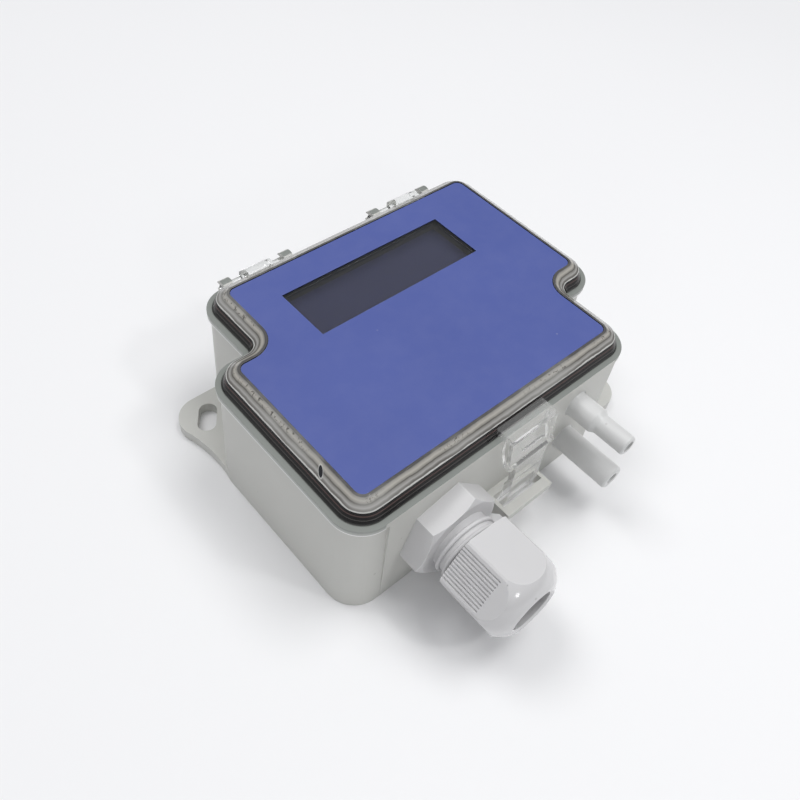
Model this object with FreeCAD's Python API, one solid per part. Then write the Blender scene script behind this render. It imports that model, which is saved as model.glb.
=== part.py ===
import FreeCAD, Part
import os
from math import acos, asin, cos, pi, radians, sin, sqrt, tan
from FreeCAD import Vector as V

# Differential pressure transmitter for ducts: a stepped grey case with a clear hinged lid,
# two hose ports, a cable gland, and a display and terminal board inside.
# Millimetres. Origin: centre of the case's outline on its flat back. X runs along the lid's
# hinge, Y from the gland side to the hinge side, Z out of the wall, through the lid.

# Case: outline of the rim, point symmetric, with a step in each side for the fixing ears
CASE_WIDTH = 95.0
CASE_HEIGHT = 71.5
STEP = 10.9
STEP_Y = 15.6
CORNER_R = 7.4
STEP_INNER_R = 0.8
RIM_Z = 31.4
RIM_BAND = 1.5
RIM_OVERHANG = 0.8
WALL_DRAFT = 0.75
WALL = 2.2
FLOOR = 2.2
RIM_LIP = 4.2
RIM_LIP_DEPTH = 1.6
PAD_LEFT = -39.0
PAD_RIGHT = 30.0

# Seal in the lid's channel, standing in a shallow groove of the rim
CHANNEL_INSET = 2.7
CHANNEL_WIDTH = 1.5
CHANNEL_Z = 33.7
GROOVE_DEPTH = 0.4
GROOVE_CLEAR = 0.15
SEAL_CLEAR = 0.1

# Fixing ears
EAR_THICK = 3.0
EAR_R = 6.4
EAR_INSET = (5.0, 8.85)
EAR_WAIST = 0.45
EAR_SLOT_INSET = (5.2, 9.55)
EAR_HOLE_INSET = (5.5, 7.95)
EAR_HOLE_R = 2.25
EAR_SLOT_LENGTH = 8.5
EAR_SLOT_LEAN = 37.0

# Lid
LID_GAP = 0.2
LID_TOP_Z = 36.0
LID_INSET = 1.2
LID_SHOULDER_INSET = 2.4
LID_SHOULDER_Z = 34.2
LID_TOP_INSET = 5.0
LID_PLATE = 1.8
RIB_INSET = 4.5
RIB_THICK = 1.0
RIB_DROP = 0.5
LABEL_INSET = 5.6
LABEL_THICK = 0.2
LABEL_RECESS = 0.35
LABEL_GAP = 0.1
WINDOW_HEIGHT = 15.0
WINDOW_MARGIN_LEFT = 14.76
WINDOW_MARGIN_RIGHT = 21.74
WINDOW_MARGIN_BACK = 13.75

# Hinge along the back of the rim: pairs of grey lugs, and a clear barrel whose pins snap into them
HINGE_OUT = 0.75
HINGE_Z = 30.4
KNUCKLE_R = 2.1
PIN_R = 1.1
PIN_CLEAR = 0.05
LUG_SPAN = 19.7
LUG_WIDTH = 2.5
SNAP_MOUTH = 1.8
BARREL_LENGTH = 7.0
RIM_CLEAR = 0.25
HINGE_AT = (-18.75, 26.75)
BARREL_AT = (-18.9, 27.9)

# Latch: a clear tongue on the lid that drops through a slotted shelf on the case.
# Here and below, OUT and what is named FRONT or BACK count from the case's front side.
LATCH_LEFT = -8.5
LATCH_RIGHT = 5.5
LATCH_WALL = 1.4
HOOD_TOP_Z = 33.6
HOOD_TOP_OUT = 2.85
HOOD_OUT = 3.65
HOOD_END_Z = 24.5
CHEEK_THICK = 1.2
CHEEK_GAP = 0.7
TONGUE_LEFT = -5.6
TONGUE_RIGHT = 4.2
TONGUE_OUT = 4.15
TONGUE_FOOT_Z = 17.0
TONGUE_FOOT = 2.0
TONGUE_TIP_OUT = 3.45
TONGUE_END_Z = 7.2
BARB_HEADROOM = 1.2
BARB_HOLD = 0.25
GRIP_R = 0.7
BEAD_R = 0.45
BEAD_LENGTH = 6.6
BEAD_OUT = 3.15
BEAD_Z = 28.8
SHELF_TOP_Z = 12.0
SHELF_THICK = 2.0
SHELF_LEFT = -8.9
SHELF_RIGHT = 5.6
SHELF_OUT = 7.65
SLOT_IN = 1.75
SLOT_OUT = 5.25
SLOT_END_GAP = 1.0

# Cable gland, M16, on an axis along Y
GLAND_INSET = 24.0
GLAND_Z = 16.2
THREAD_R = 7.9
GLAND_HOLE_R = 8.1
WASHER_R = 9.2
WASHER_THICK = 0.6
WASHER_CLEAR = 0.1
HEX_FLATS = 20.0
HEX_LENGTH = 5.7
HEX_BEVEL = 0.85
HEX_TURN = 13.6
INNER_THREAD = 7.8
OUTER_THREAD = 10.0
GLAND_BORE_R = 5.3
FINGER_LENGTH = 4.5
FINGER_R = 6.9
FINGER_SLOT = 1.0
FINGERS = 8
LOCK_NUT_FLATS = 20.0
LOCK_NUT_THICK = 4.0
SEAL_BORE_R = 4.0
SEAL_WALL_R = 5.2
SEAL_LENGTH = 9.0

# Dome nut: a hexagon with plain and ribbed sides in turn, closed in to a round mouth
NUT_BACK = 10.55
NUT_FRONT = 27.05
NUT_R = 10.6
NUT_PLAIN = 9.2
NUT_RIBBED = 9.45
NUT_TURN = 82.6
NUT_CLEAR = 0.08
NUT_MOUTH_R = 5.2
NUT_LIP_R = 6.1
NUT_DOME_AT = 20.25
NUT_DOME_R = 9.65
NUT_DOME_MIDDLE = 23.95
RIB_GROOVE = 0.4
RIB_GROOVE_DEPTH = 0.35
RIB_PITCH = 0.8
RIB_GROOVES = 11
NUT_CHAMFER = 0.25

# Hose ports, one above the other
PORT_INSET = 18.5
PORT_LOW_Z = 11.6
PORT_HIGH_Z = 24.1
PORT_R = 3.15
PORT_SHANK_R = 3.4
PORT_TIP_R = 2.5
PORT_TIP_LENGTH = 8.0
PORT_CONE = 1.2
PORT_REACH = 15.65
PORT_BORE_R = 1.5
PORT_FLANGE_R = 4.2
PORT_FLANGE_THICK = 1.5
BARB_R = 1.95
BARB_LENGTH = 9.0
HOSE_CLEAR = 0.05
HOSE_WALL = 0.8

# Boards and what they carry
BOARD_THICK = 1.6
BOARD_Z = 6.0
BOARD_GAP_LEFT = 2.6
BOARD_GAP_RIGHT = 2.1
BOARD_GAP_FRONT = 6.75
BOARD_GAP_BACK = 1.75
BOARD_CORNER = 2.0
BOSS_R = 3.0
BOSS_PILOT_R = 1.1
BOSS_INSET = 3.0
BOSS_MIDDLE_UP = 23.0
BOSS_FRONT_UP = 3.5
SCREW_HEAD_R = 2.6
SCREW_HEAD = 1.8
SCREW_SHANK_R = 1.05
SCREW_LENGTH = 3.0
DRIVE_SLOT = 0.7
DISPLAY_Z = 24.0
DISPLAY_EDGE_X = 5.7
DISPLAY_EDGE_Y = 6.0
STANDOFF_R = 2.0
STANDOFF_INSET = 3.5
STANDOFF_FRONT = 2.5
STANDOFF_BACK = 6.5
BEZEL_WALL_X = 5.2
BEZEL_WALL_Y = 4.5
BEZEL_TO_LID = 0.3
LCD_DEPTH = 2.0
LCD_THICK = 2.2
LCD_EDGE = 3.2
HEADER_PITCH = 2.54
HEADER_MARGIN = 8.0
HEADER_DEPTH = 2.5
HEADER_FRONT = 4.2
PIN_HALF = 0.32

TERMINAL_POLES = 4
TERMINAL_PITCH = 5.08
TERMINAL_INSET = 1.0
TERMINAL_UP = 8.0
TERMINAL_DEPTH = 9.0
TERMINAL_HEIGHT = 11.0
TERMINAL_CHAMFER = 2.5
TERMINAL_SCREW_R = 1.9
TERMINAL_SCREW_CLEAR = 0.06
TERMINAL_SCREW_LENGTH = 5.0
WIRE_WIDTH = 3.2
WIRE_HEIGHT = 4.0
WIRE_DEPTH = 6.5

SENSOR_WIDTH = 13.0
SENSOR_DEPTH = 10.0
SENSOR_UP = 22.0
SENSOR_TOP = 28.0
SENSOR_BARB = 5.0

BUTTON_X = 2.0
BUTTON_UP = 6.0
SWITCH_SIZE = 6.0
SWITCH_HEIGHT = 3.6
BUTTON_R = 1.75
BUTTON_CLEAR = 0.1
BUTTON_RISE = 2.0
BUTTON_SEAT = 1.6
JUMPER_UP = 15.0
JUMPER_COLUMNS = 3
JUMPER_BASE = 2.5
JUMPER_PIN = 6.0
JUMPER_CAP = 5.0
CHIP_X = -12.0
CHIP_UP = 24.0
CHIP_SIZE = 7.0
CHIP_THICK = 1.4
CAPACITOR_GAP = 8.0
CAPACITOR_X = 3.0
CAPACITOR_UP = 23.0
CAPACITOR_R = 3.15
CAPACITOR_HEIGHT = 7.7

# Places that follow from the sizes above
NARROW = CASE_WIDTH / 2 - STEP
FRONT_Y = -CASE_HEIGHT / 2
INNER_FRONT_Y = FRONT_Y + RIM_OVERHANG + WALL
INNER_NARROW = NARROW - RIM_OVERHANG - WALL
HINGE_Y = CASE_HEIGHT / 2 + HINGE_OUT
EAR_AT = (CASE_WIDTH / 2 - EAR_INSET[0], CASE_HEIGHT / 2 - EAR_INSET[1])
EAR_SLOT_AT = (EAR_SLOT_INSET[0] - CASE_WIDTH / 2, CASE_HEIGHT / 2 - EAR_SLOT_INSET[1])
EAR_HOLE_AT = (CASE_WIDTH / 2 - EAR_HOLE_INSET[0], EAR_HOLE_INSET[1] - CASE_HEIGHT / 2)
WINDOW_LEFT = WINDOW_MARGIN_LEFT - NARROW
WINDOW_RIGHT = CASE_WIDTH / 2 - WINDOW_MARGIN_RIGHT
WINDOW_WIDTH = WINDOW_RIGHT - WINDOW_LEFT
WINDOW_AT = ((WINDOW_LEFT + WINDOW_RIGHT) / 2, CASE_HEIGHT / 2 - WINDOW_MARGIN_BACK - WINDOW_HEIGHT / 2)
GLAND_X = GLAND_INSET - CASE_WIDTH / 2
PORT_X = NARROW - PORT_INSET
BOARD_TOP = BOARD_Z + BOARD_THICK
BOARD_X = (BOARD_GAP_LEFT - INNER_NARROW, INNER_NARROW - BOARD_GAP_RIGHT)
BOARD_Y = (INNER_FRONT_Y + BOARD_GAP_FRONT, -INNER_FRONT_Y - BOARD_GAP_BACK)
BOSS_X = (BOARD_X[0] + BOSS_INSET, BOARD_X[1] - BOSS_INSET)
BOSS_AT = ((BOSS_X[0], BOARD_Y[1] - BOSS_INSET), (BOSS_X[1], BOARD_Y[1] - BOSS_INSET),
           (BOSS_X[0], BOARD_Y[0] + BOSS_MIDDLE_UP), (BOSS_X[1], BOARD_Y[0] + BOSS_FRONT_UP))
DISPLAY_X = (WINDOW_LEFT - DISPLAY_EDGE_X, WINDOW_RIGHT + DISPLAY_EDGE_X)
DISPLAY_Y = (WINDOW_AT[1] - WINDOW_HEIGHT / 2 - DISPLAY_EDGE_Y, WINDOW_AT[1] + WINDOW_HEIGHT / 2 + DISPLAY_EDGE_Y)
STANDOFF_Y = (DISPLAY_Y[0] + STANDOFF_FRONT, DISPLAY_Y[1] - STANDOFF_BACK)
HEADER_Y = DISPLAY_Y[0] + HEADER_FRONT
HEADER_PINS = int((DISPLAY_X[1] - DISPLAY_X[0] - 2 * HEADER_MARGIN) / HEADER_PITCH)
TERMINAL_X = BOARD_X[0] + TERMINAL_INSET
TERMINAL_FRONT = BOARD_Y[0] + TERMINAL_UP
SENSOR_BACK = BOARD_Y[0] + SENSOR_UP
BUTTON_AT = (BUTTON_X, BOARD_Y[0] + BUTTON_UP)
JUMPER_AT = (BUTTON_X, BOARD_Y[0] + JUMPER_UP)
CHIP_AT = (CHIP_X, BOARD_Y[0] + CHIP_UP)
CAPACITOR_AT = ((CAPACITOR_X + CAPACITOR_GAP / 2, BOARD_Y[0] + CAPACITOR_UP),
                (CAPACITOR_X - CAPACITOR_GAP / 2, BOARD_Y[0] + CAPACITOR_UP))
LID_BOTTOM_Z = RIM_Z + LID_GAP
PLATE_UNDER_Z = LID_TOP_Z - LID_PLATE
X_AXIS = V(1, 0, 0)
Y_AXIS = V(0, 1, 0)
Z_AXIS = V(0, 0, 1)


# Shapes used by more than one piece

def rounded_wire(corners, z):
    """Closed wire through (x, y, radius) corners, each rounded by its own arc."""
    edges = []
    stops = []
    count = len(corners)
    for i in range(count):
        x, y, radius = corners[i]
        at = V(x, y, z)
        before = V(corners[i - 1][0], corners[i - 1][1], z)
        after = V(corners[(i + 1) % count][0], corners[(i + 1) % count][1], z)
        back = (before - at).normalize()
        ahead = (after - at).normalize()
        half = acos(max(-1.0, min(1.0, back.dot(ahead)))) / 2
        reach = radius / tan(half)
        inward = (back + ahead).normalize()
        middle = at + inward * (radius / sin(half) - radius)
        stops.append((at + back * reach, middle, at + ahead * reach))
    for i in range(count):
        start, middle, end = stops[i]
        edges.append(Part.Arc(start, middle, end).toShape())
        edges.append(Part.LineSegment(end, stops[(i + 1) % count][0]).toShape())
    return Part.Wire(edges)


def case_plan(inset, z):
    """The outline, moved in: a rectangle whose two opposite sides step in, corners rounded."""
    wide = CASE_WIDTH / 2 - inset
    narrow = wide - STEP
    side = CASE_HEIGHT / 2 - inset
    step_y = STEP_Y - inset
    corner_r = CORNER_R - inset
    inner_r = STEP_INNER_R + inset
    half = [(-wide, -side, corner_r), (narrow, -side, corner_r),
            (narrow, -step_y, inner_r), (wide, -step_y, corner_r)]
    other = [(-x, -y, radius) for x, y, radius in half]
    return rounded_wire(half + other, z)


def prism(wire, height):
    return Part.Face(wire).extrude(V(0, 0, height))


def tapered(bottom, top):
    return Part.makeLoft([bottom, top], True, True)


def box(x, y, z):
    """Box from (low, high) pairs."""
    return Part.makeBox(x[1] - x[0], y[1] - y[0], z[1] - z[0], V(x[0], y[0], z[0]))


def side_profile(points, x):
    """Prism along X of a closed (y, z) outline."""
    outline = [V(x[0], y, z) for y, z in points]
    return Part.Face(Part.makePolygon(outline + outline[:1])).extrude(V(x[1] - x[0], 0, 0))


def turned(profile, x, z):
    """Solid of revolution about an axis along Y, from (radius, distance out of the wall)."""
    outline = [V(x + radius, -out, z) for radius, out in profile]
    face = Part.Face(Part.makePolygon(outline + outline[:1]))
    return face.revolve(V(x, 0, z), Y_AXIS, 360)


def rod(radius, x, z, out):
    """Cylinder along Y between two distances out of the wall."""
    return Part.makeCylinder(radius, out[1] - out[0], V(x, -out[0], z), -Y_AXIS)


def hexagon(flats, x, z, out, turn):
    corner = flats / 2 / cos(pi / 6)
    points = []
    for i in range(6):
        angle = radians(turn + 60 * i)
        points.append(V(x + corner * cos(angle), -out[0], z + corner * sin(angle)))
    return Part.Face(Part.makePolygon(points + points[:1])).extrude(V(0, out[0] - out[1], 0))


def slot_face(start, end, radius):
    """Flat slot outline on the back plane between two arc centres."""
    along = (end - start).normalize()
    side = V(-along.y, along.x, 0) * radius
    edges = [
        Part.LineSegment(start + side, end + side).toShape(),
        Part.Arc(end + side, end + along * radius, end - side).toShape(),
        Part.LineSegment(end - side, start - side).toShape(),
        Part.Arc(start - side, start - along * radius, start + side).toShape(),
    ]
    return Part.Face(Part.Wire(edges))


def fuse(first, *others):
    return first.multiFuse(list(others)).removeSplitter()


# Case

def ear(mirror):
    """Flat ear in a step of the outline: a round end that flares into the wide wall."""
    x, y = EAR_AT
    wall = CASE_WIDTH / 2 - RIM_OVERHANG + WALL_DRAFT
    root = CASE_WIDTH / 2 - RIM_OVERHANG - STEP - WALL / 2
    foot_y = STEP_Y - CORNER_R
    ends = [V(-x + EAR_R * cos(radians(angle)), y + EAR_R * sin(radians(angle)), 0) for angle in (90, 148, 206)]
    foot = V(-wall, foot_y, 0)
    waist = V(-wall + EAR_WAIST, (ends[2].y + foot_y) / 2, 0)
    edges = [
        Part.LineSegment(V(-root, y + EAR_R, 0), ends[0]).toShape(),
        Part.Arc(*ends).toShape(),
        Part.Arc(ends[2], waist, foot).toShape(),
        Part.LineSegment(foot, V(-root, foot_y, 0)).toShape(),
        Part.LineSegment(V(-root, foot_y, 0), V(-root, y + EAR_R, 0)).toShape(),
    ]
    plate = Part.Face(Part.Wire(edges)).extrude(V(0, 0, EAR_THICK))
    if mirror:
        plate.rotate(V(0, 0, 0), Z_AXIS, 180)
    return plate


def ear_openings():
    """One round hole, and one slot that leans with its ear."""
    drop = V(0, 0, -1)
    depth = V(0, 0, EAR_THICK + 2)
    hole = Part.makeCylinder(EAR_HOLE_R, depth.z, V(*EAR_HOLE_AT, 0) + drop)
    half = EAR_SLOT_LENGTH / 2 - EAR_HOLE_R
    lean = V(sin(radians(EAR_SLOT_LEAN)), cos(radians(EAR_SLOT_LEAN)), 0) * half
    centre = V(*EAR_SLOT_AT, 0) + drop
    return [hole, slot_face(centre - lean, centre + lean, EAR_HOLE_R).extrude(depth)]


def drafted_walls():
    return tapered(case_plan(RIM_OVERHANG - WALL_DRAFT, 0), case_plan(RIM_OVERHANG, RIM_Z - RIM_BAND))


def fixing_ears():
    """The two ears that grow out of the case's steps, each up to the drafted wall."""
    walls = drafted_walls()
    openings = ear_openings()
    return Part.makeCompound([ear(mirror).cut([walls] + openings).Solids[0] for mirror in (False, True)])


def case_shell():
    band = prism(case_plan(0, RIM_Z - RIM_BAND), RIM_BAND)
    pad = box((PAD_LEFT, PAD_RIGHT), (FRONT_Y, FRONT_Y + WALL), (0, RIM_Z - 0.5))
    return fuse(drafted_walls(), band, pad)


def case_hollow():
    """Room inside the walls, closed in a little under the rim to carry the seal."""
    inner = RIM_OVERHANG + WALL
    lip_z = RIM_Z - RIM_LIP_DEPTH
    ramp = RIM_LIP - inner
    room = prism(case_plan(inner, FLOOR), lip_z - ramp - FLOOR)
    slope = tapered(case_plan(inner, lip_z - ramp), case_plan(RIM_LIP, lip_z))
    mouth = prism(case_plan(RIM_LIP, lip_z), RIM_LIP_DEPTH + 1)
    return fuse(room, slope, mouth)


def seal_ring(inset, width, z, height):
    outer = prism(case_plan(inset, z), height)
    return outer.cut(prism(case_plan(inset + width, z), height))


def hinge_lug(left):
    """Grey lug with a web to the wall."""
    right = left + LUG_WIDTH
    root = CASE_HEIGHT / 2 - RIM_OVERHANG - 0.2
    web = [(root, HINGE_Z - 5.0), (root, RIM_Z), (HINGE_Y, HINGE_Z + KNUCKLE_R),
           (HINGE_Y + KNUCKLE_R, HINGE_Z), (HINGE_Y + 1.2, HINGE_Z - 1.8)]
    knuckle = Part.makeCylinder(KNUCKLE_R, LUG_WIDTH, V(left, HINGE_Y, HINGE_Z), X_AXIS)
    return side_profile(web, (left, right)).fuse(knuckle)


def lug_bore(centre):
    """Bore of a pair of lugs, and the mouth behind it through which the pin snaps in."""
    ends = (centre - LUG_SPAN / 2 - 0.5, centre + LUG_SPAN / 2 + 0.5)
    bore = Part.makeCylinder(PIN_R + PIN_CLEAR, LUG_SPAN + 1, V(ends[0], HINGE_Y, HINGE_Z), X_AXIS)
    mouth = box(ends, (HINGE_Y, HINGE_Y + KNUCKLE_R + 1),
                (HINGE_Z - SNAP_MOUTH / 2, HINGE_Z + SNAP_MOUTH / 2))
    return bore.fuse(mouth)


def hinge_room(centre, radius, length):
    """Room in the rim for what turns on the hinge's axis."""
    return Part.makeCylinder(radius + RIM_CLEAR, length, V(centre - length / 2, HINGE_Y, HINGE_Z), X_AXIS)


def latch_shelf():
    shelf = box((SHELF_LEFT, SHELF_RIGHT), (-SHELF_OUT, 1), (SHELF_TOP_Z - SHELF_THICK, SHELF_TOP_Z))
    under = SHELF_TOP_Z - SHELF_THICK
    gusset = [(1, under), (-SLOT_OUT, under), (0, under - 6), (1, under - 6)]
    left = side_profile(gusset, (SHELF_LEFT, SHELF_LEFT + SLOT_END_GAP))
    right = side_profile(gusset, (SHELF_RIGHT - SLOT_END_GAP, SHELF_RIGHT))
    slot = box((SHELF_LEFT + SLOT_END_GAP, SHELF_RIGHT - SLOT_END_GAP), (-SLOT_OUT, -SLOT_IN),
               (under - 1, SHELF_TOP_Z + 1))
    ledge = fuse(shelf, left, right).cut(slot)
    ledge.translate(V(0, FRONT_Y, 0))
    return ledge


def board_bosses():
    bosses = []
    pilots = []
    for x, y in BOSS_AT:
        bosses.append(Part.makeCylinder(BOSS_R, BOARD_Z - FLOOR + 1, V(x, y, FLOOR - 1)))
        pilots.append(Part.makeCylinder(BOSS_PILOT_R, BOARD_Z - FLOOR, V(x, y, FLOOR)))
    return bosses, pilots


def port_floor_holes():
    reach = (-FRONT_Y - 2 * WALL - 1, -FRONT_Y + 1)
    return [rod(PORT_SHANK_R + HOSE_CLEAR, PORT_X, z, reach) for z in (PORT_LOW_Z, PORT_HIGH_Z)]


def case_base():
    bosses, pilots = board_bosses()
    lugs = []
    rooms = []
    for lugs_at, barrel_at in zip(HINGE_AT, BARREL_AT):
        lugs.append(hinge_lug(lugs_at - LUG_SPAN / 2))
        lugs.append(hinge_lug(lugs_at + LUG_SPAN / 2 - LUG_WIDTH))
        rooms.append(hinge_room(barrel_at, KNUCKLE_R, BARREL_LENGTH + 2 * RIM_CLEAR))
        rooms.append(hinge_room(lugs_at, PIN_R, LUG_SPAN - 2 * LUG_WIDTH))
    groove = seal_ring(CHANNEL_INSET, CHANNEL_WIDTH, RIM_Z - GROOVE_DEPTH, GROOVE_DEPTH + 1)
    gland_hole = rod(GLAND_HOLE_R, GLAND_X, GLAND_Z, (-FRONT_Y - 2 * WALL - 1, -FRONT_Y + 1))
    body = case_shell().cut(case_hollow())
    body = body.cut(groove).cut(rooms + [gland_hole] + port_floor_holes())
    body = fuse(body, latch_shelf(), *(bosses + lugs))
    return body.cut(pilots + [lug_bore(centre) for centre in HINGE_AT])


def lid_gasket():
    low = RIM_Z - GROOVE_DEPTH + SEAL_CLEAR
    inset = CHANNEL_INSET + GROOVE_CLEAR
    return seal_ring(inset, CHANNEL_WIDTH - 2 * GROOVE_CLEAR, low, CHANNEL_Z - low)


# Lid

def lid_plate():
    """Clear cover: a sloped side up to a shoulder, then a bevel up to the label's recess."""
    side = tapered(case_plan(LID_INSET, LID_BOTTOM_Z), case_plan(LID_SHOULDER_INSET, LID_SHOULDER_Z))
    bevel = tapered(case_plan(LID_SHOULDER_INSET, LID_SHOULDER_Z), case_plan(LID_TOP_INSET, LID_TOP_Z))
    rib = seal_ring(RIB_INSET, RIB_THICK, RIM_Z - RIB_DROP, PLATE_UNDER_Z - RIM_Z + RIB_DROP + 0.5)
    recess = prism(case_plan(LABEL_INSET - LABEL_GAP, LID_TOP_Z - LABEL_RECESS), 1)
    inside = prism(case_plan(RIB_INSET, LID_BOTTOM_Z), PLATE_UNDER_Z - LID_BOTTOM_Z)
    channel = seal_ring(CHANNEL_INSET, RIB_INSET - CHANNEL_INSET + 0.01, LID_BOTTOM_Z,
                        CHANNEL_Z - LID_BOTTOM_Z)
    return fuse(fuse(side, bevel).cut([inside, recess, channel]), rib)


def lid_knuckle(centre, lugs_at):
    """Barrel on an arm that reaches over the rim, with a pin out to the lug on each side."""
    left = centre - BARREL_LENGTH / 2
    right = centre + BARREL_LENGTH / 2
    root = CASE_HEIGHT / 2 - LID_SHOULDER_INSET - 0.3
    top = LID_SHOULDER_Z - 0.4
    arm = [(root, LID_BOTTOM_Z + 0.8), (root, top), (HINGE_Y - 0.6, top), (HINGE_Y + KNUCKLE_R, HINGE_Z + 0.8),
           (HINGE_Y + KNUCKLE_R, HINGE_Z), (HINGE_Y, HINGE_Z), (CASE_HEIGHT / 2 - LID_INSET - 0.2, LID_BOTTOM_Z)]
    barrel = Part.makeCylinder(KNUCKLE_R, BARREL_LENGTH, V(left, HINGE_Y, HINGE_Z), X_AXIS)
    pin = Part.makeCylinder(PIN_R, LUG_SPAN, V(lugs_at - LUG_SPAN / 2, HINGE_Y, HINGE_Z), X_AXIS)
    return fuse(side_profile(arm, (left, right)), barrel, pin)


def latch():
    """Hood over the rim with two cheeks, a finger grip, and a barbed tongue below."""
    root = LID_SHOULDER_INSET + 0.3
    low = LID_BOTTOM_Z + 0.4
    hood_in = HOOD_OUT - LATCH_WALL
    top_in = HOOD_TOP_OUT - LATCH_WALL
    hood = [(root, low), (root, HOOD_TOP_Z), (-HOOD_TOP_OUT + 1.2, HOOD_TOP_Z), (-HOOD_TOP_OUT, HOOD_TOP_Z - 0.8),
            (-HOOD_OUT, HOOD_END_Z), (-hood_in, HOOD_END_Z), (-top_in, low - 0.5), (-top_in + 0.6, low)]
    foot_in = TONGUE_OUT - TONGUE_FOOT
    barb_z = SHELF_TOP_Z - SHELF_THICK - BARB_HEADROOM
    tongue = [(-HOOD_OUT, HOOD_END_Z + 1), (-TONGUE_OUT, SHELF_TOP_Z), (-TONGUE_TIP_OUT, TONGUE_END_Z),
              (-foot_in, TONGUE_END_Z), (-SLOT_IN + BARB_HOLD, barb_z - 0.5), (-SLOT_IN + BARB_HOLD, barb_z),
              (-foot_in, barb_z), (-foot_in, TONGUE_FOOT_Z - 0.8), (-foot_in - 0.4, TONGUE_FOOT_Z),
              (-hood_in, HOOD_END_Z + 1)]
    cheek = [(-CHEEK_GAP, low), (-HOOD_TOP_OUT + 0.6, low), (-HOOD_OUT + 0.3, HOOD_END_Z),
             (-hood_in, HOOD_END_Z), (-CHEEK_GAP, HOOD_END_Z + 4)]
    grip = Part.makeCylinder(GRIP_R, LATCH_RIGHT - LATCH_LEFT, V(LATCH_LEFT, -HOOD_OUT + 0.2, HOOD_END_Z + GRIP_R),
                             X_AXIS)
    bead_left = (LATCH_LEFT + LATCH_RIGHT - BEAD_LENGTH) / 2
    bead = Part.makeCylinder(BEAD_R, BEAD_LENGTH, V(bead_left, -BEAD_OUT, BEAD_Z), X_AXIS)
    catch = fuse(bead, side_profile(hood, (LATCH_LEFT, LATCH_RIGHT)),
                 side_profile(tongue, (TONGUE_LEFT, TONGUE_RIGHT)),
                 side_profile(cheek, (LATCH_LEFT, LATCH_LEFT + CHEEK_THICK)),
                 side_profile(cheek, (LATCH_RIGHT - CHEEK_THICK, LATCH_RIGHT)), grip)
    catch.translate(V(0, FRONT_Y, 0))
    return catch


def clear_lid():
    knuckles = [lid_knuckle(barrel_at, lugs_at) for barrel_at, lugs_at in zip(BARREL_AT, HINGE_AT)]
    return fuse(lid_plate(), latch(), *knuckles)


def window_label():
    x, y = WINDOW_AT
    z = LID_TOP_Z - LABEL_RECESS
    window = box((x - WINDOW_WIDTH / 2, x + WINDOW_WIDTH / 2), (y - WINDOW_HEIGHT / 2, y + WINDOW_HEIGHT / 2),
                 (z - 1, z + 1))
    return prism(case_plan(LABEL_INSET, z), LABEL_THICK).cut(window)


# Cable gland

def gland_body():
    """Hexagon with a thread on each side, bored through, and split into clamping fingers."""
    face = -FRONT_Y
    hex_end = face + HEX_LENGTH
    thread_end = hex_end + OUTER_THREAD
    tip = thread_end + FINGER_LENGTH
    corner = HEX_FLATS / 2 / cos(pi / 6) + 0.1
    bevel_end = HEX_FLATS / 2 + 0.1
    blank = turned([(0, face), (corner, face), (corner, hex_end - HEX_BEVEL), (bevel_end, hex_end), (0, hex_end)],
                   GLAND_X, GLAND_Z)
    body = blank.common(hexagon(HEX_FLATS, GLAND_X, GLAND_Z, (face, hex_end), HEX_TURN))
    recess = rod(WASHER_R + WASHER_CLEAR, GLAND_X, GLAND_Z, (face - 1, face + WASHER_THICK))
    inner = rod(THREAD_R, GLAND_X, GLAND_Z, (face - INNER_THREAD, face + WASHER_THICK))
    outer = rod(THREAD_R, GLAND_X, GLAND_Z, (hex_end, thread_end))
    fingers = turned([(0, thread_end), (FINGER_R, thread_end), (FINGER_R - 0.8, tip), (0, tip)],
                     GLAND_X, GLAND_Z)
    bore = rod(GLAND_BORE_R, GLAND_X, GLAND_Z, (face - INNER_THREAD - 1, tip + 1))
    slots = []
    for i in range(FINGERS):
        slot = box((GLAND_X, GLAND_X + FINGER_R + 1), (-tip - 1, -thread_end - 0.4),
                   (GLAND_Z - FINGER_SLOT / 2, GLAND_Z + FINGER_SLOT / 2))
        slot.rotate(V(GLAND_X, 0, GLAND_Z), Y_AXIS, 360 * i / FINGERS)
        slots.append(slot)
    return fuse(body.cut(recess), inner, outer, fingers).cut([bore] + slots)


def gland_washer():
    """Flat ring in the recess behind the hexagon."""
    out = (-FRONT_Y, -FRONT_Y + WASHER_THICK)
    hole = rod(THREAD_R, GLAND_X, GLAND_Z, out)
    return rod(WASHER_R, GLAND_X, GLAND_Z, out).cut(hole)


def gland_lock_nut():
    out = (-INNER_FRONT_Y - LOCK_NUT_THICK, -INNER_FRONT_Y)
    nut = hexagon(LOCK_NUT_FLATS, GLAND_X, GLAND_Z, out, 0)
    return nut.cut(rod(THREAD_R, GLAND_X, GLAND_Z, out))


def gland_seal():
    """Rubber sleeve inside the fingers, with a rounded lip at its outer end."""
    start = -FRONT_Y + HEX_LENGTH + OUTER_THREAD + FINGER_LENGTH - SEAL_LENGTH
    end = start + SEAL_LENGTH
    return turned([(SEAL_BORE_R, start), (SEAL_WALL_R, start), (SEAL_WALL_R, end - 0.6),
                   (SEAL_WALL_R - 0.5, end), (SEAL_BORE_R + 0.5, end), (SEAL_BORE_R, end - 0.6)],
                  GLAND_X, GLAND_Z)


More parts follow.
